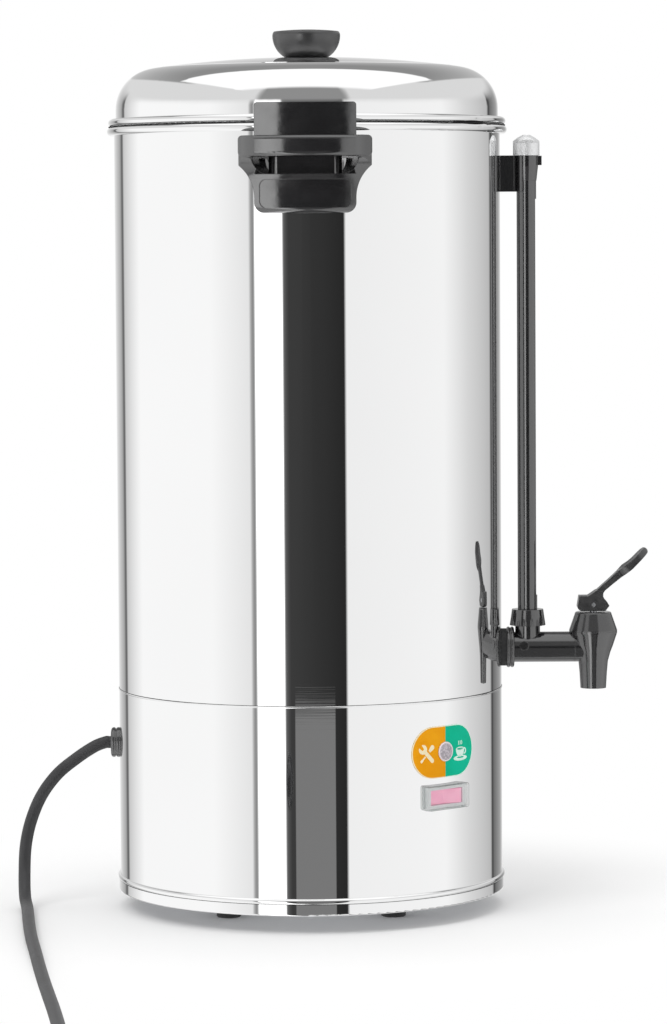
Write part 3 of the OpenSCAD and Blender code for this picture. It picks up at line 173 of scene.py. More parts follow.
def add_node(tree, kind, settings=(), **inputs):
    """A new node. Its inputs are values or other nodes' outputs, given by their names."""
    node = tree.nodes.new("ShaderNode" + kind)
    for key, value in dict(settings).items():
        setattr(node, key, value)
    for key, value in inputs.items():
        socket = node.inputs[int(key[1:]) if key[0] == "_" else key.replace("_", " ")]
        if isinstance(value, bpy.types.NodeSocket):
            tree.links.new(value, socket)
        else:
            socket.default_value = value
    return node


def noise(tree, scale, detail=3.0, stretch=(1, 1, 1), uv=None):
    """A noise value over the piece, in metres; stretch squeezes it along an axis."""
    place = add_node(tree, "UVMap", {"uv_map": uv}) if uv else add_node(tree, "TexCoord")
    spread = add_node(tree, "Mapping", Vector=place.outputs["UV" if uv else "Object"], Scale=stretch)
    return add_node(tree, "TexNoise", Vector=spread.outputs[0], Scale=scale, Detail=detail).outputs["Fac"]


def vary(tree, value, socket, low, high):
    """Drives a shader's number with a noise value, from low to high."""
    spread = add_node(tree, "MapRange", Value=value, From_Min=0.3, From_Max=0.7, To_Min=low, To_Max=high)
    tree.links.new(spread.outputs[0], socket)


def vary_colour(tree, value, socket, first, second):
    """Drives a shader's colour with a noise value, between two colours."""
    ramp = add_node(tree, "ValToRGB", Fac=value)
    ramp.color_ramp.elements[0].position = 0.35
    ramp.color_ramp.elements[0].color = (*first, 1)
    ramp.color_ramp.elements[1].position = 0.65
    ramp.color_ramp.elements[1].color = (*second, 1)
    tree.links.new(ramp.outputs[0], socket)


def roughen(tree, main, value, height, strength=1.0):
    """Lifts the surface with a noise value, up to a height in metres."""
    bump = add_node(tree, "Bump", Height=value, Distance=height, Strength=strength)
    tree.links.new(bump.outputs[0], main.inputs["Normal"])


def dress(finish, *names):
    """Gives CAD nodes a material."""
    for name in names:
        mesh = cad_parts[name].data
        mesh.materials.clear()
        mesh.materials.append(finish)


sheath, tree, main = material("cord_sheath", (0.032, 0.032, 0.034), roughness=0.42, Specular_IOR_Level=0.6)
grain = noise(tree, 90, uv="along", stretch=(6, 60, 1))
vary(tree, grain, main.inputs["Roughness"], 0.36, 0.5)
vary_colour(tree, noise(tree, 60), main.inputs["Base Color"], (0.028, 0.028, 0.030), (0.038, 0.038, 0.040))
roughen(tree, main, grain, 0.00006)

coil_steps = 40
cord_sides = 20
cord_path = smooth_route(CORD_ROUTE, 8)
cord_path += [coil_point(k / coil_steps) for k in range(2 * COIL_TURNS * coil_steps + 1)]
cord_path += smooth_route(TAIL_ROUTE, 6)
cord = swept_tube("mains_cord", cord_path, CORD_R, cord_sides, sheath)
cord.visible_glossy = False
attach(cord, "urn")
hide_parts("cord_run", "cord_coil", "cord_tail")

moulded, tree, main = material("plug_rubber", (0.02, 0.02, 0.022), roughness=0.45)
vary(tree, noise(tree, 900), main.inputs["Roughness"], 0.38, 0.55)
roughen(tree, main, noise(tree, 2500), 0.00003)
dress(moulded, "plug_body")
dress(sheath, "lead_inside")

# ---------------------------------------------------------------- studio
# A white table and a white room. Mirror steel shows the room: a dark gap behind the camera,
# tall light panels at both sides of it, a bright ceiling panel and dark corners behind.
# Azimuths, in degrees to the right of the camera's side, and greys from 0 to 255
ROOM_PANELS = [
    (-180, 255), (-150, 170), (-146, 100), (-144, 100), (-142, 200), (-120, 250), (-60, 250),
    (-34.2, 230), (-33.6, 130), (-32.2, 130), (-31.6, 255), (-14.7, 255), (-14.3, 100), (-12, 60),
    (21.3, 40), (21.9, 240), (88, 245), (110, 215), (138.6, 185), (140, 75), (142, 75), (144, 110),
    (160, 160), (180, 255),
]
# Greys of the ceiling behind the urn, by how far up a ray goes
BACK_CEILING = [(0, 245), (0.2, 195), (0.75, 140)]
TABLE_EDGE_AZIMUTHS = (-9, 14.6)
TABLE_EDGE_UP = -0.1135
TABLE_EDGE_GREY = 120
GLOWING_AZIMUTHS = (-31.2, -14.9)
GLOW = 1.9
HIGH_GAP_AZIMUTHS = (-30, 25)
HIGH_WALL_GREY, HIGH_GAP_GREY = 218, 142
HIGH_UP = 0.2
CEILING_GLOW = 1.05
PLAIN_LIGHT = 0.72
FLOOR_REACH = 6
SHADOW_REACH = 0.24
FAR = 99


def grey(level):
    """A linear grey for a grey that is given from 0 to 255."""
    share = level / 255
    return share / 12.92 if share < 0.04 else ((share + 0.055) / 1.055) ** 2.4


def calc(tree, operation, *values):
    """The result of a Math node."""
    inputs = {f"_{i}": value for i, value in enumerate(values)}
    return add_node(tree, "Math", {"operation": operation}, **inputs).outputs[0]


def between(tree, value, low, high, soft):
    """1 where a value lies between low and high, with soft edges."""
    smooth = {"interpolation_type": "SMOOTHSTEP"}
    rise = add_node(tree, "MapRange", smooth, Value=value, From_Min=low - soft, From_Max=low + soft)
    fall = add_node(tree, "MapRange", smooth, Value=value, From_Min=high - soft, From_Max=high + soft,
                    To_Min=1.0, To_Max=0.0)
    return calc(tree, "MULTIPLY", rise.outputs[0], fall.outputs[0])


def blend_grey(tree, share, first, second):
    """A value between first, at share 0, and second, at share 1."""
    return add_node(tree, "MapRange", Value=share, To_Min=first, To_Max=second).outputs[0]


def grey_ramp(tree, value, low, high, greys):
    """A grey that follows a value through a list of places and greys."""
    ramp = add_node(tree, "ValToRGB", Fac=add_node(
        tree, "MapRange", Value=value, From_Min=low, From_Max=high).outputs[0])
    stops = ramp.color_ramp.elements
    for number, (place, level) in enumerate(greys):
        position = (place - low) / (high - low)
        stop = stops[number] if number < 2 else stops.new(position)
        stop.position = position
        stop.color = (*[grey(level)] * 3, 1)
    return ramp.outputs[0]


world = bpy.data.worlds.new("studio")
bpy.context.scene.world = world
world.use_nodes = True
tree = world.node_tree
tree.nodes.clear()
direction = add_node(tree, "SeparateXYZ", Vector=add_node(tree, "TexCoord").outputs["Generated"])
east, north, up = direction.outputs
azimuth = calc(tree, "ARCTAN2", east, calc(tree, "MULTIPLY", north, -1.0))
azimuth = calc(tree, "SUBTRACT", calc(tree, "DEGREES", azimuth), math.degrees(CAMERA_SIDE))
room = grey_ramp(tree, azimuth, -180, 180, ROOM_PANELS)
# the table's near edge shows as a grey field at the foot of the dark gap
table_edge = calc(tree, "MULTIPLY", between(tree, azimuth, *TABLE_EDGE_AZIMUTHS, 0.3),
                  between(tree, up, -FAR, TABLE_EDGE_UP, 0.001))
room = blend_grey(tree, table_edge, room, grey(TABLE_EDGE_GREY))
# one light panel is much brighter, as the black mouldings show
glowing = between(tree, azimuth, *GLOWING_AZIMUTHS, 0.2)
room = calc(tree, "MULTIPLY", room, blend_grey(tree, glowing, 1.0, GLOW))
# above eye level the walls are plain, with a grey gap in front and a grey ceiling behind
high_wall = blend_grey(tree, between(tree, azimuth, *HIGH_GAP_AZIMUTHS, 3), grey(HIGH_WALL_GREY),
                       grey(HIGH_GAP_GREY))
room = blend_grey(tree, between(tree, up, HIGH_UP, FAR, 0.09), room, high_wall)
across = calc(tree, "DIVIDE", east, up)
depth = calc(tree, "DIVIDE", north, up)
behind = calc(tree, "MULTIPLY", between(tree, north, 0.1, FAR, 0.1), between(tree, across, -1.0, 1.0, 0.06))
behind = calc(tree, "MULTIPLY", behind, between(tree, up, 0.01, FAR, 0.01))
room = blend_grey(tree, behind, room, grey_ramp(tree, up, 0, 1, BACK_CEILING))
# the bright panel overhead, with a soft edge towards the camera
ceiling = calc(tree, "MULTIPLY", between(tree, depth, -0.9, FAR, 0.16),
               between(tree, depth, -FAR, 0.42, 0.04))
ceiling = calc(tree, "MULTIPLY", between(tree, across, -0.93, 0.93, 0.05), ceiling)
ceiling = calc(tree, "MULTIPLY", ceiling, between(tree, up, HIGH_UP, FAR, 0.05))
room = blend_grey(tree, ceiling, room, CEILING_GLOW)
rays = add_node(tree, "LightPath")
seen = calc(tree, "MAXIMUM", rays.outputs["Is Camera Ray"], rays.outputs["Is Transmission Ray"])
level = blend_grey(tree, rays.outputs["Is Glossy Ray"], PLAIN_LIGHT, room)
level = blend_grey(tree, seen, level, 1.0)
background = add_node(tree, "Background", Color=(1, 1, 1, 1), Strength=level)
tree.links.new(background.outputs[0], add_node(tree, "OutputWorld").inputs["Surface"])


def area_lamp(name, place, target, size, watts):
    """A soft lamp that lights the pieces but doesn't show in the mirror steel."""
    lamp_data = bpy.data.lights.new(name, "AREA")
    lamp_data.size = size
    lamp_data.energy = watts
    lamp = bpy.data.objects.new(name, lamp_data)
    lamp.location = place
    lamp.rotation_mode = "QUATERNION"
    lamp.rotation_quaternion = (Vector(target) - Vector(place)).to_track_quat("-Z", "Y")
    lamp.visible_glossy = False
    bpy.context.scene.collection.objects.link(lamp)


area_lamp("key_lamp", (-0.9, -1.3, 1.7), (0, 0, 0.2), 1.1, 14)
area_lamp("top_lamp", (0.2, 0.1, 2.0), (0, 0, 0), 1.4, 12)

table_top, tree, main = material("table_top", (0.93, 0.93, 0.93), roughness=0.9, Specular_IOR_Level=0.0)
# away from the urn's own shadow the camera sees the table as plain white
out = add_node(tree, "VectorMath", {"operation": "LENGTH"}, _0=add_node(tree, "TexCoord").outputs["Object"])
white_share = between(tree, out.outputs["Value"], SHADOW_REACH, FAR, 0.08)
white_share = calc(tree, "MULTIPLY", white_share, add_node(tree, "LightPath").outputs["Is Camera Ray"])
white = add_node(tree, "Emission", Color=(1, 1, 1, 1), Strength=1.0)
blended = add_node(tree, "MixShader", _0=white_share, _1=main.outputs[0], _2=white.outputs[0])
tree.links.new(blended.outputs[0], tree.nodes["Material Output"].inputs["Surface"])
floor_mesh = bpy.data.meshes.new("floor")
floor_mesh.from_pydata(
    [(x * FLOOR_REACH, y * FLOOR_REACH, 0) for x, y in ((-1, -1), (1, -1), (1, 1), (-1, 1))],
    [], [(0, 1, 2, 3)])
floor = shown("floor", floor_mesh, table_top)
floor.visible_glossy = False

# ---------------------------------------------------------------- tank, base and lid
# Pressed stainless sheet, polished to a mirror: the tank with its rolled rim, the base under
# the lap seam and the domed lid. Fine polishing lines run round them.
BODY_R = 0.1075
SEAM_Z = 0.1235
RIM_TOP = 0.4368

mirror_steel, tree, main = material("mirror_steel", (0.97, 0.97, 0.97), 1.0, 0.02)
vary(tree, noise(tree, 30, 4), main.inputs["Roughness"], 0.008, 0.022)
vary_colour(tree, noise(tree, 7, 2), main.inputs["Base Color"], (0.965, 0.966, 0.967), (0.98, 0.981, 0.982))
roughen(tree, main, noise(tree, 40, 2, stretch=(0.3, 0.3, 60)), 0.0000015)
dress(mirror_steel, "tank_shell", "base_shell", "lid_shell")

# painted shade: a black finish for the pieces that darken gaps and hollows of the steel, where there is only
# shade
painted_shade_black, tree, main = material("painted_shade_black", (0.008, 0.008, 0.009), roughness=0.6, Specular_IOR_Level=0.2)
vary(tree, noise(tree, 400), main.inputs["Roughness"], 0.55, 0.75)


def number_input(tree, kind, name, value):
    """A named input of a Geometry Nodes tree, with its usual value."""
    socket = tree.interface.new_socket(name, in_out="INPUT", socket_type="NodeSocket" + kind)
    socket.default_value = value
    return socket.identifier


def grown(name, tree, finish, **sizes):
    """A plain mesh that a Geometry Nodes tree grows from its named sizes."""
    piece = bpy.data.objects.new(name, bpy.data.meshes.new(name))
    bpy.context.scene.collection.objects.link(piece)
    modifier = piece.modifiers.new("grow", "NODES")
    modifier.node_group = tree
    named = {item.name: item.identifier for item in tree.interface.items_tree}
    for size, value in sizes.items():
        modifier[named[size.replace("_", " ")]] = value
    bpy.context.view_layer.update()
    grown_mesh = bpy.data.meshes.new_from_object(piece.evaluated_get(bpy.context.evaluated_depsgraph_get()))
    piece.modifiers.clear()
    piece.data = grown_mesh
    grown_mesh.name = name
    grown_mesh.materials.clear()
    grown_mesh.materials.append(finish)
    return piece


def geometry_node(tree, kind, settings=(), **inputs):
    """A new geometry node, its inputs given by their names."""
    node = tree.nodes.new(kind)
    for key, value in dict(settings).items():
        setattr(node, key, value)
    for key, value in inputs.items():
        socket = node.inputs[key.replace("_", " ")]
        if isinstance(value, bpy.types.NodeSocket):
            tree.links.new(value, socket)
        else:
            socket.default_value = value
    return node


# a row of round hoops, side by side on one axis: lips, beads, ridges and black lines of painted shade
hoop_tree = bpy.data.node_groups.new("hoops", "GeometryNodeTree")
hoop_tree.interface.new_socket("Geometry", in_out="OUTPUT", socket_type="NodeSocketGeometry")
number_input(hoop_tree, "Float", "Radius", 0.1)
number_input(hoop_tree, "Float", "Thickness", 0.0005)
number_input(hoop_tree, "Int", "Count", 1)
number_input(hoop_tree, "Float", "Pitch", 0.001)
number_input(hoop_tree, "Vector", "Place", (0, 0, 0))
number_input(hoop_tree, "Vector", "Turn", (0, 0, 0))
number_input(hoop_tree, "Material", "Finish", None)
sizes = hoop_tree.nodes.new("NodeGroupInput").outputs
steps = geometry_node(hoop_tree, "ShaderNodeMath", {"operation": "MULTIPLY_ADD"})
steps_per_metre, least_steps = 3200, 32
hoop_tree.links.new(sizes["Radius"], steps.inputs[0])
steps.inputs[1].default_value = steps_per_metre
steps.inputs[2].default_value = least_steps
circle = geometry_node(hoop_tree, "GeometryNodeCurvePrimitiveCircle", Radius=sizes["Radius"],
                       Resolution=steps.outputs[0])
section = geometry_node(hoop_tree, "GeometryNodeCurvePrimitiveCircle", Radius=sizes["Thickness"],
                        Resolution=12)
hoop = geometry_node(hoop_tree, "GeometryNodeCurveToMesh", Curve=circle.outputs["Curve"],
                     Profile_Curve=section.outputs["Curve"])
step = geometry_node(hoop_tree, "ShaderNodeCombineXYZ", Z=sizes["Pitch"])
row = geometry_node(hoop_tree, "GeometryNodeMeshLine", Count=sizes["Count"], Offset=step.outputs[0])
hoops = geometry_node(hoop_tree, "GeometryNodeInstanceOnPoints", Points=row.outputs[0],
                      Instance=hoop.outputs[0])
smooth = geometry_node(hoop_tree, "GeometryNodeSetShadeSmooth",
                       Geometry=geometry_node(hoop_tree, "GeometryNodeRealizeInstances",
                                              Geometry=hoops.outputs[0]).outputs[0])
placed = geometry_node(hoop_tree, "GeometryNodeTransform", Geometry=smooth.outputs[0],
                       Translation=sizes["Place"], Rotation=sizes["Turn"])
finished = geometry_node(hoop_tree, "GeometryNodeSetMaterial", Geometry=placed.outputs[0],
                         Material=sizes["Finish"])
hoop_tree.links.new(finished.outputs[0], hoop_tree.nodes.new("NodeGroupOutput").inputs[0])

seam_lip = grown("seam_lip", hoop_tree, mirror_steel, Radius=BODY_R - 0.00015, Thickness=0.00055,
                 Place=(0, 0, SEAM_Z - 0.0003), Finish=mirror_steel)
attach(seam_lip, "urn")
# painted shade: a thin black hoop darkens the crevice of the lap seam
seam_painted_shade = grown("seam_painted_shade", hoop_tree, painted_shade_black, Radius=BODY_R - 0.00005, Thickness=0.00016,
                 Place=(0, 0, SEAM_Z + 0.0003), Finish=painted_shade_black)
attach(seam_painted_shade, "urn")
# painted shade: a black ring darkens the line where the lid's bead sits on the rim
bead_painted_shade = grown("bead_painted_shade", hoop_tree, painted_shade_black, Radius=BODY_R + 0.0028, Thickness=0.0003,
                 Place=(0, 0, RIM_TOP + 0.00006), Finish=painted_shade_black)
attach(bead_painted_shade, "lid")



def lofted(name, loops, finish, round_again=False):
    """A piece whose skin runs through closed loops of points. It is closed by its two ends, or
    by the first loop where it runs round again."""
    count = len(loops[0])
    spans = len(loops) if round_again else len(loops) - 1
    skin = []
    for i in range(spans):
        here, there = i * count, (i + 1) % len(loops) * count
        skin += [[here + k, here + (k + 1) % count, there + (k + 1) % count, there + k] for k in range(count)]
    if not round_again:
        skin += [list(range(count)), list(range(spans * count, len(loops) * count))]
    mesh = bpy.data.meshes.new(name)
    mesh.from_pydata([point for loop in loops for point in loop], [], skin)
    outwards = bmesh.new()
    outwards.from_mesh(mesh)
    bmesh.ops.recalc_face_normals(outwards, faces=outwards.faces)
    outwards.to_mesh(mesh)
    outwards.free()
    return shown(name, mesh, finish)


# painted shade: a black lens-shaped strip fills the back of the pouring gap, where there is only shade
NOTCH_AZIMUTH = math.radians(-34.6)
NOTCH_HALF = 0.0165
NOTCH_END_H, NOTCH_H = 0.0001, 0.00105
NOTCH_IN, NOTCH_OUT = BODY_R + 0.0008, BODY_R + 0.0021
NOTCH_Z = RIM_TOP + 0.00012
notch_steps = 24
notch_loops = []
for k in range(notch_steps + 1):
    share = 2 * k / notch_steps - 1
    angle = NOTCH_AZIMUTH + share * NOTCH_HALF / BODY_R
    half = NOTCH_END_H + NOTCH_H * (1 - share * share)
    notch_loops.append([
        (radius * math.cos(angle), radius * math.sin(angle), NOTCH_Z + side * half)
        for radius, side in ((NOTCH_IN, -1), (NOTCH_OUT, -1), (NOTCH_OUT, 1), (NOTCH_IN, 1))])
pouring_painted_shade = lofted("pouring_painted_shade", notch_loops, painted_shade_black)
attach(pouring_painted_shade, "lid")

# ---------------------------------------------------------------- handles, tap and gauge guard
# Gloss black plastic, moulded with rounded edges. The handles and the tap are screwed to the
# wall; the guard stands in its nut on the tap's shank and is held by a bracket at the top.
MOULDED_EDGE_R = 0.0005


def soften_edges(tree, main, value, height):
    """Rounds the edges of a moulding in its shading, over a surface lifted by a noise value."""
    edge = add_node(tree, "Bevel", {"samples": 4}, Radius=MOULDED_EDGE_R)
    bump = add_node(tree, "Bump", Height=value, Distance=height, Normal=edge.outputs[0])
    tree.links.new(bump.outputs[0], main.inputs["Normal"])


gloss_black, tree, main = material(
    "gloss_black", (0.014, 0.014, 0.015), roughness=0.14, Specular_IOR_Level=0.8, IOR=1.85)
vary(tree, noise(tree, 120, 4), main.inputs["Roughness"], 0.08, 0.18)
soften_edges(tree, main, noise(tree, 260, 3), 0.00002)
dress(gloss_black, "handle_left", "handle_right", "tap_shank", "gauge_nut", "gauge_guard",
      "gauge_bracket", "tap_body", "tap_bonnet")

# two round ridges on the shank's flange
SHANK_Z = 0.1446
flange_ridges = grown("flange_ridges", hoop_tree, gloss_black, Radius=0.0104, Thickness=0.0011, Count=2,
                      Pitch=0.0021, Place=(BODY_R + 0.0039, 0, SHANK_Z), Turn=(0, math.pi / 2, 0),
                      Finish=gloss_black)
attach(flange_ridges, "urn")

# ---------------------------------------------------------------- knob, lever and nuts
# Satin black plastic: the lid's knob, which a screw holds from inside the lid, the tap's lever
# on its pin, the nuts behind the cord grip and the lamp, and the thermostat's case.
satin_black, tree, main = material(
    "satin_black", (0.022, 0.022, 0.023), roughness=0.35, Specular_IOR_Level=0.7, IOR=1.75)
vary(tree, noise(tree, 300, 3), main.inputs["Roughness"], 0.28, 0.4)
soften_edges(tree, main, noise(tree, 200, 3), 0.00006)
dress(satin_black, "lid_knob", "tap_lever", "cord_grip_nut", "indicator_nut", "thermostat")

# ---------------------------------------------------------------- cord grip
# A moulded collar with a groove between two rounded ridges, in the same gloss black. It grips
# the lead where it leaves the base, and a nut holds it from inside.
GRIP_PROFILE = [  # radius and distance out from the urn's axis
    (0.0034, 0.1068), (0.0078, 0.1068), (0.0084, 0.1076), (0.0084, 0.1088), (0.0081, 0.1093),
    (0.0076, 0.1096), (0.0081, 0.1100), (0.0084, 0.1105), (0.0084, 0.1113), (0.0080, 0.1120),
    (0.0072, 0.1124), (0.0046, 0.1125), (0.0036, 0.1122),
]
grip_steps = 64
grip_turns = [2 * math.pi * k / grip_steps for k in range(grip_steps)]
cord_collar = lofted("cord_collar", [
    [(-out, radius * math.cos(t), CORD_EXIT[2] + radius * math.sin(t)) for radius, out in GRIP_PROFILE]
    for t in grip_turns], gloss_black, round_again=True)
cord_collar.data.shade_smooth()
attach(cord_collar, "urn")
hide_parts("cord_grip")

# ---------------------------------------------------------------- feet, washers and seals
# Matt black rubber: four moulded feet under the base, the washers of the knob and the tap's
# shank, and the gauge's seals.
soft_rubber, tree, main = material("soft_rubber", (0.025, 0.025, 0.026), roughness=0.7)
vary(tree, noise(tree, 700, 3), main.inputs["Roughness"], 0.6, 0.8)
roughen(tree, main, noise(tree, 1500), 0.00004)
dress(soft_rubber, "feet", "knob_washer", "shank_washers", "gauge_seals")

# ---------------------------------------------------------------- gauge and plated pieces
# A clear glass tube stands in the guard under a bright plated cap. The screws, nuts, stem and
# spring are zinc plated steel, as the base plate is.
bright_plate, tree, main = material("bright_plate", (0.86, 0.865, 0.87), 0.6, 0.45)
vary(tree, noise(tree, 300, 3, stretch=(1, 1, 0.2)), main.inputs["Roughness"], 0.36, 0.5)
vary_colour(tree, noise(tree, 500), main.inputs["Base Color"], (0.84, 0.845, 0.85), (0.90, 0.905, 0.91))
dress(bright_plate, "gauge_cap")

zinc_plate, tree, main = material("zinc_plate", (0.62, 0.63, 0.65), 1.0, 0.3)
vary(tree, noise(tree, 400, 4), main.inputs["Roughness"], 0.25, 0.4)
vary_colour(tree, noise(tree, 150, 4), main.inputs["Base Color"], (0.56, 0.57, 0.60), (0.66, 0.67, 0.68))
dress(zinc_plate, "base_plate", "base_screws", "foot_screws", "foot_nuts", "sensor_screws", "block_screws",
      "earth_stud", "handle_screws", "knob_screw", "shank_nut", "bracket_screw", "tap_stem", "tap_spring",
      "lever_pin", "plug_pins")

clear_glass, tree, main = material("clear_glass", (0.96, 0.98, 0.98), roughness=0.01, Transmission_Weight=1.0,
                                   IOR=1.47)
vary(tree, noise(tree, 60), main.inputs["Roughness"], 0.0, 0.02)
dress(clear_glass, "gauge_glass")

# ---------------------------------------------------------------- label and lamp
# Two printed films side by side, stuck on the base: orange with tools for service and green
# with a cup for use. The lamp's lens stands between them in a pale plastic ring.
LABEL_AZIMUTH = math.radians(-46.8)
LABEL_Z = 0.0955
LABEL_W = 0.0458
LABEL_H = 0.0282
LABEL_EDGE_W = 0.4  # millimetres, as all the signs are drawn in
FILM_FOOT = BODY_R + 0.0001
FILM_LOW = BODY_R + 0.00038
FILM_HIGH = BODY_R + 0.00048

orange_film, tree, main = material("orange_film", (0.86, 0.35, 0.003), roughness=0.55, Specular_IOR_Level=0.1)
vary_colour(tree, noise(tree, 90), main.inputs["Base Color"], (0.84, 0.33, 0.002), (0.88, 0.38, 0.005))
dress(orange_film, "label_orange")
green_film, tree, main = material("green_film", (0.0, 0.50, 0.30), roughness=0.55, Specular_IOR_Level=0.1)
vary_colour(tree, noise(tree, 90), main.inputs["Base Color"], (0.0, 0.48, 0.28), (0.0, 0.52, 0.32))
dress(green_film, "label_green")
cream_film, tree, main = material("cream_film", (0.93, 0.82, 0.52), roughness=0.5)
vary_colour(tree, noise(tree, 200), main.inputs["Base Color"], (0.92, 0.80, 0.50), (0.95, 0.85, 0.58))
mint_film, tree, main = material("mint_film", (0.68, 0.92, 0.80), roughness=0.5)
vary_colour(tree, noise(tree, 200), main.inputs["Base Color"], (0.64, 0.90, 0.78), (0.74, 0.94, 0.84))


def at_label(across, up, out):
    """A place on the base's front panel, from the label's middle and the urn's axis."""
    ahead = math.sqrt(out * out - across * across)
    return (ahead * math.cos(LABEL_AZIMUTH) - across * math.sin(LABEL_AZIMUTH),
            ahead * math.sin(LABEL_AZIMUTH) + across * math.cos(LABEL_AZIMUTH), LABEL_Z + up)


def printed_film(name, outlines, finish, low=FILM_LOW):
    """Flat outlines in millimetres, laid round the base as a thin closed film."""
    sheet = bmesh.new()
    for outline in outlines:
        sheet.faces.new([sheet.verts.new((x / 1000, y / 1000, 0)) for x, y in outline])
    bmesh.ops.remove_doubles(sheet, verts=sheet.verts, dist=1e-6)
    bmesh.ops.triangulate(sheet, faces=sheet.faces, ngon_method="EAR_CLIP")
    for cut in range(-22, 23):
        bmesh.ops.bisect_plane(sheet, geom=sheet.verts[:] + sheet.edges[:] + sheet.faces[:], dist=1e-7,
                               plane_co=(cut / 1000, 0, 0), plane_no=(1, 0, 0))
    grown_top = bmesh.ops.extrude_face_region(sheet, geom=sheet.faces[:], use_keep_orig=True)
    raised = {v for v in grown_top["geom"] if isinstance(v, bmesh.types.BMVert)}
    for vertex in sheet.verts:
        vertex.co = at_label(vertex.co.x, vertex.co.y, FILM_HIGH if vertex in raised else low)
    bmesh.ops.recalc_face_normals(sheet, faces=sheet.faces)
    mesh = bpy.data.meshes.new(name)
    sheet.to_mesh(mesh)
    sheet.free()
    piece = shown(name, mesh, finish)
    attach(piece, "urn")
    return piece


def arc(x, y, radius, start, end, steps=12, squeeze=1.0):
    """Points of an arc; squeeze makes it an ellipse."""
    turns = [math.radians(start + (end - start) * k / steps) for k in range(steps + 1)]
    return [(x + radius * math.cos(t), y + radius * squeeze * math.sin(t)) for t in turns]


def band(outer, inner):
    """The strip between two lines with as many points."""
    return [[outer[i], outer[i + 1], inner[i + 1], inner[i]] for i in range(len(outer) - 1)]


def turned(outline, x, y, degrees, scale):
    """An outline scaled, turned and moved to its place on the label."""
    c, s = scale * math.cos(math.radians(degrees)), scale * math.sin(math.radians(degrees))
    return [(x + c * u - s * v, y + s * u + c * v) for u, v in outline]


# the tools: a spanner from upper left to lower right, over a screwdriver
spanner = [(0.3, -0.55), (1.3, -1.05), (7.2, -0.95)] + arc(9.3, 0, 2.35, -155, -25) + [
    (10.1, -0.85), (8.9, -0.5), (8.9, 0.5), (10.1, 0.85)] + arc(9.3, 0, 2.35, 25, 155) + [
    (7.2, 0.95), (1.3, 1.05), (0.3, 0.55)]
blade = [(0, -0.6), (1.2, -0.65), (1.6, -0.4), (4.0, -0.4), (4.0, 0.4), (1.6, 0.4), (1.2, 0.65), (0, 0.6)]
driver_handle = [(7.4, -0.7)] + arc(10.1, 0, 1.25, -90, 90, 10) + [(7.4, 0.7)]
tools_sign = printed_film("label_tools", [
    turned(spanner, -8.6, -5.4, 134, 1.13), turned(blade, -17.3, -4.8, 45, 1.08),
    turned(driver_handle, -17.3, -4.8, 45, 1.08)], cream_film)

# the hot drink: a cup on its saucer with three wisps of steam
CUP = (11.9, 0.4)
cup_bowl = arc(*CUP, 3.5, 180, 360, 20, 1.25)
cup_rim = band(arc(*CUP, 3.5, 0, 180, 20, 0.32), arc(*CUP, 2.8, 0, 180, 20, 0.18))
cup_handle = band(arc(15.2, -0.9, 1.9, -100, 80, 12), arc(15.2, -0.9, 1.1, -100, 80, 12))
saucer = band(arc(12.1, -4.6, 5.7, 0, 360, 32, 0.26), arc(12.1, -4.2, 3.0, 0, 360, 32, 0.16))
steam = [[(x, 2.7), (x + 0.55, 2.7), (x + 0.85, 3.7), (x + 0.55, 4.9), (x, 4.9), (x + 0.3, 3.7)]
         for x in (10.3, 11.6, 12.9)]
cup_sign = printed_film("label_cup", [cup_bowl, *cup_rim, *cup_handle, *saucer, *steam], mint_film)
cup_mouth = printed_film("label_cup_mouth", [arc(*CUP, 2.5, 0, 360, 24, 0.22)[:-1]], green_film)

# the pale edge round the label, cream on the tools' side and mint on the cup's
end_x, end_r = (LABEL_W - LABEL_H) * 500, LABEL_H * 500
for name, finish, slot_name, side in (("label_edge_cream", cream_film, "orange_film", -1),
                                      ("label_edge_mint", mint_film, "green_film", 1)):
    outer, inner = ([(0, r)] + [(side * (end_x + r * math.cos(t)), r * math.sin(t))
                                for t in (math.pi / 2 - math.pi * k / 32 for k in range(33))] + [(0, -r)]
                    for r in (end_r + 0.06, end_r - LABEL_EDGE_W))
    printed_film(name, band(outer, inner), finish, FILM_FOOT)

lens_plastic, tree, main = material("lens_plastic", (0.50, 0.46, 0.48), roughness=0.15, Coat_Weight=0.5)
cells = add_node(tree, "TexVoronoi", Vector=add_node(tree, "TexCoord").outputs["Object"], Scale=900)
vary_colour(tree, cells.outputs["Distance"], main.inputs["Base Color"], (0.54, 0.49, 0.53),
            (0.34, 0.31, 0.34))
roughen(tree, main, cells.outputs["Distance"], 0.00015)
dress(lens_plastic, "indicator_lens")
ring_plastic, tree, main = material("ring_plastic", (0.80, 0.72, 0.76), roughness=0.25)
vary(tree, noise(tree, 300), main.inputs["Roughness"], 0.2, 0.32)
lens_ring = grown("lens_ring", hoop_tree, ring_plastic, Radius=0.0049, Thickness=0.0005,
                  Place=at_label(0, 0, BODY_R + 0.0007), Turn=(0, math.pi / 2, LABEL_AZIMUTH),
                  Finish=ring_plastic)
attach(lens_ring, "urn")
white_plastic, tree, main = material("white_plastic", (0.70, 0.70, 0.67), roughness=0.4)
vary(tree, noise(tree, 500), main.inputs["Roughness"], 0.35, 0.5)
dress(white_plastic, "indicator_body")

# ---------------------------------------------------------------- switch
# A rocker of pink plastic in a pale frame, snapped into the base. A clear soft boot that stands
# on the wall seals both from splashes.
SWITCH_Z = 0.0708
BOOT_Z = SWITCH_Z - LABEL_Z
BOOT_W, BOOT_H, BOOT_OUT, BOOT_WALL = 0.030, 0.0135, 0.0042, 0.0007
BOOT_EDGE_R = 0.001
BOOT_CORNER_R, BOOT_HOLLOW_R = 0.0012, 0.0006
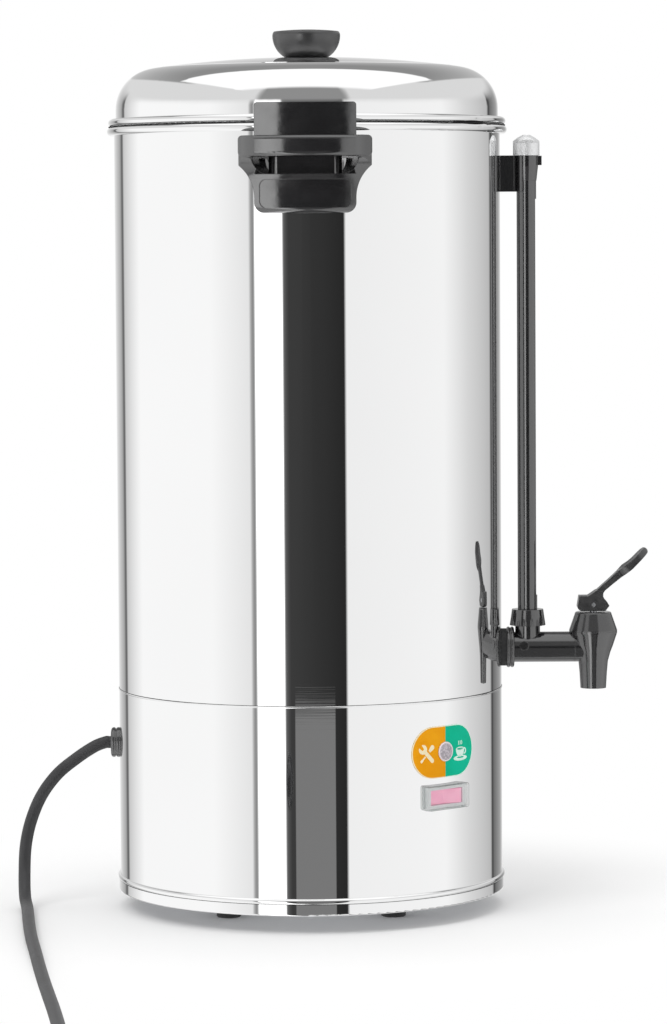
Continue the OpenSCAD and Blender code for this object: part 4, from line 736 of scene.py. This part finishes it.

# painted light: a faint pink emission makes the rocker glow, though there is no lamp in it
pink_plastic, tree, main = material("pink_plastic", (0.98, 0.45, 0.63), roughness=0.25, Coat_Weight=0.4,
                                    Emission_Color=(1.0, 0.35, 0.55, 1), Emission_Strength=0.18)
vary_colour(tree, noise(tree, 120), main.inputs["Base Color"], (0.97, 0.42, 0.60), (0.99, 0.52, 0.67))
dress(pink_plastic, "switch_rocker")
pale_frame, tree, main = material("pale_frame", (0.82, 0.84, 0.84), roughness=0.4)
vary(tree, noise(tree, 300), main.inputs["Roughness"], 0.3, 0.5)
dress(pale_frame, "switch_frame")

# the boot: a soft clear box with round edges, with painted shade along its upper edge
clear_boot, tree, main = material("clear_boot", (0.42, 0.46, 0.45), roughness=0.12)
rim_share = add_node(tree, "LayerWeight", Blend=0.4)
vary(tree, rim_share.outputs["Facing"], main.inputs["Alpha"], 0.08, 0.85)
vary(tree, noise(tree, 300), main.inputs["Roughness"], 0.08, 0.2)
height = add_node(tree, "SeparateXYZ", Vector=add_node(tree, "TexCoord").outputs["Object"]).outputs[2]
# painted shade: the boot's colour darkens towards its upper edge
top_edge_painted_shade = add_node(tree, "MapRange", Value=height, From_Min=SWITCH_Z + 0.0055, From_Max=SWITCH_Z + 0.0066)
vary_colour(tree, top_edge_painted_shade.outputs[0], main.inputs["Base Color"], (0.42, 0.46, 0.45), (0.10, 0.11, 0.11))


def boot_ring(inset, out, corner):
    """A ring of points round the boot: a rectangle with round corners at one distance out."""
    half_w, half_h = BOOT_W / 2 - inset, BOOT_H / 2 - inset
    corners = []
    for x, y, start in ((1, -1, -90), (1, 1, 0), (-1, 1, 90), (-1, -1, 180)):
        for k in range(7):
            t = math.radians(start + 15 * k)
            corners.append((x * (half_w - corner) + corner * math.cos(t),
                            y * (half_h - corner) + corner * math.sin(t)))
    ring = []
    for i, (x, y) in enumerate(corners):
        next_x, next_y = corners[(i + 1) % len(corners)]
        parts = 12 if abs(next_x - x) > half_w else 1
        ring += [(x + (next_x - x) * k / parts, y + (next_y - y) * k / parts) for k in range(parts)]
    if out is None:
        return [at_label(x, y + BOOT_Z, FILM_FOOT) for x, y in ring]
    middle = Vector((math.cos(LABEL_AZIMUTH), math.sin(LABEL_AZIMUTH), 0))
    aside = Vector((-middle.y, middle.x, 0))
    return [tuple(middle * out + aside * x + Vector((0, 0, LABEL_Z + BOOT_Z + y))) for x, y in ring]


boot_front = BODY_R + BOOT_OUT
skin_rings = [boot_ring(0, None, BOOT_CORNER_R)]
skin_rings += [
    boot_ring(BOOT_EDGE_R * (1 - math.cos(t)), boot_front - BOOT_EDGE_R * (1 - math.sin(t)), BOOT_CORNER_R)
    for t in (k * math.pi / 8 for k in range(5))]
hollow_rings = [
    boot_ring(BOOT_WALL + BOOT_HOLLOW_R, boot_front - BOOT_WALL, BOOT_HOLLOW_R / 2),
    boot_ring(BOOT_WALL, boot_front - BOOT_WALL - BOOT_HOLLOW_R, BOOT_HOLLOW_R),
    boot_ring(BOOT_WALL, None, BOOT_HOLLOW_R)]
switch_boot = lofted("switch_boot", hollow_rings + skin_rings, clear_boot)
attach(switch_boot, "urn")
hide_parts("switch_cover")

# the terminals behind the switch are brass
brass, tree, main = material("brass", (0.70, 0.52, 0.22), 1.0, 0.3)
vary(tree, noise(tree, 500), main.inputs["Roughness"], 0.25, 0.4)
dress(brass, "switch_terminals")

# ---------------------------------------------------------------- inside
# The heater plate is cast aluminium with a sheathed steel element. The terminal block and the
# thermal cut-out are porcelain, the wires have silicone sleeves and the tap's seat is silicone.
cast_aluminium, tree, main = material("cast_aluminium", (0.45, 0.45, 0.47), 1.0, 0.5)
vary(tree, noise(tree, 300, 5), main.inputs["Roughness"], 0.4, 0.65)
roughen(tree, main, noise(tree, 600, 4), 0.0001)
dress(cast_aluminium, "heater_plate")
heated_steel, tree, main = material("heated_steel", (0.25, 0.22, 0.20), 1.0, 0.45)
vary_colour(tree, noise(tree, 80), main.inputs["Base Color"], (0.20, 0.16, 0.14), (0.30, 0.28, 0.27))
dress(heated_steel, "heating_element")
porcelain, tree, main = material("porcelain", (0.75, 0.72, 0.63), roughness=0.2, Coat_Weight=0.4)
vary(tree, noise(tree, 200), main.inputs["Roughness"], 0.15, 0.3)
dress(porcelain, "terminal_block", "thermal_cutout")
wire_cover, tree, main = material("wire_cover", (0.26, 0.06, 0.02), roughness=0.45)
vary(tree, noise(tree, 600), main.inputs["Roughness"], 0.4, 0.55)
dress(wire_cover, "inner_wires")
silicone, tree, main = material("silicone", (0.68, 0.68, 0.66), roughness=0.55)
vary(tree, noise(tree, 600), main.inputs["Roughness"], 0.5, 0.65)
dress(silicone, "seat_cup")
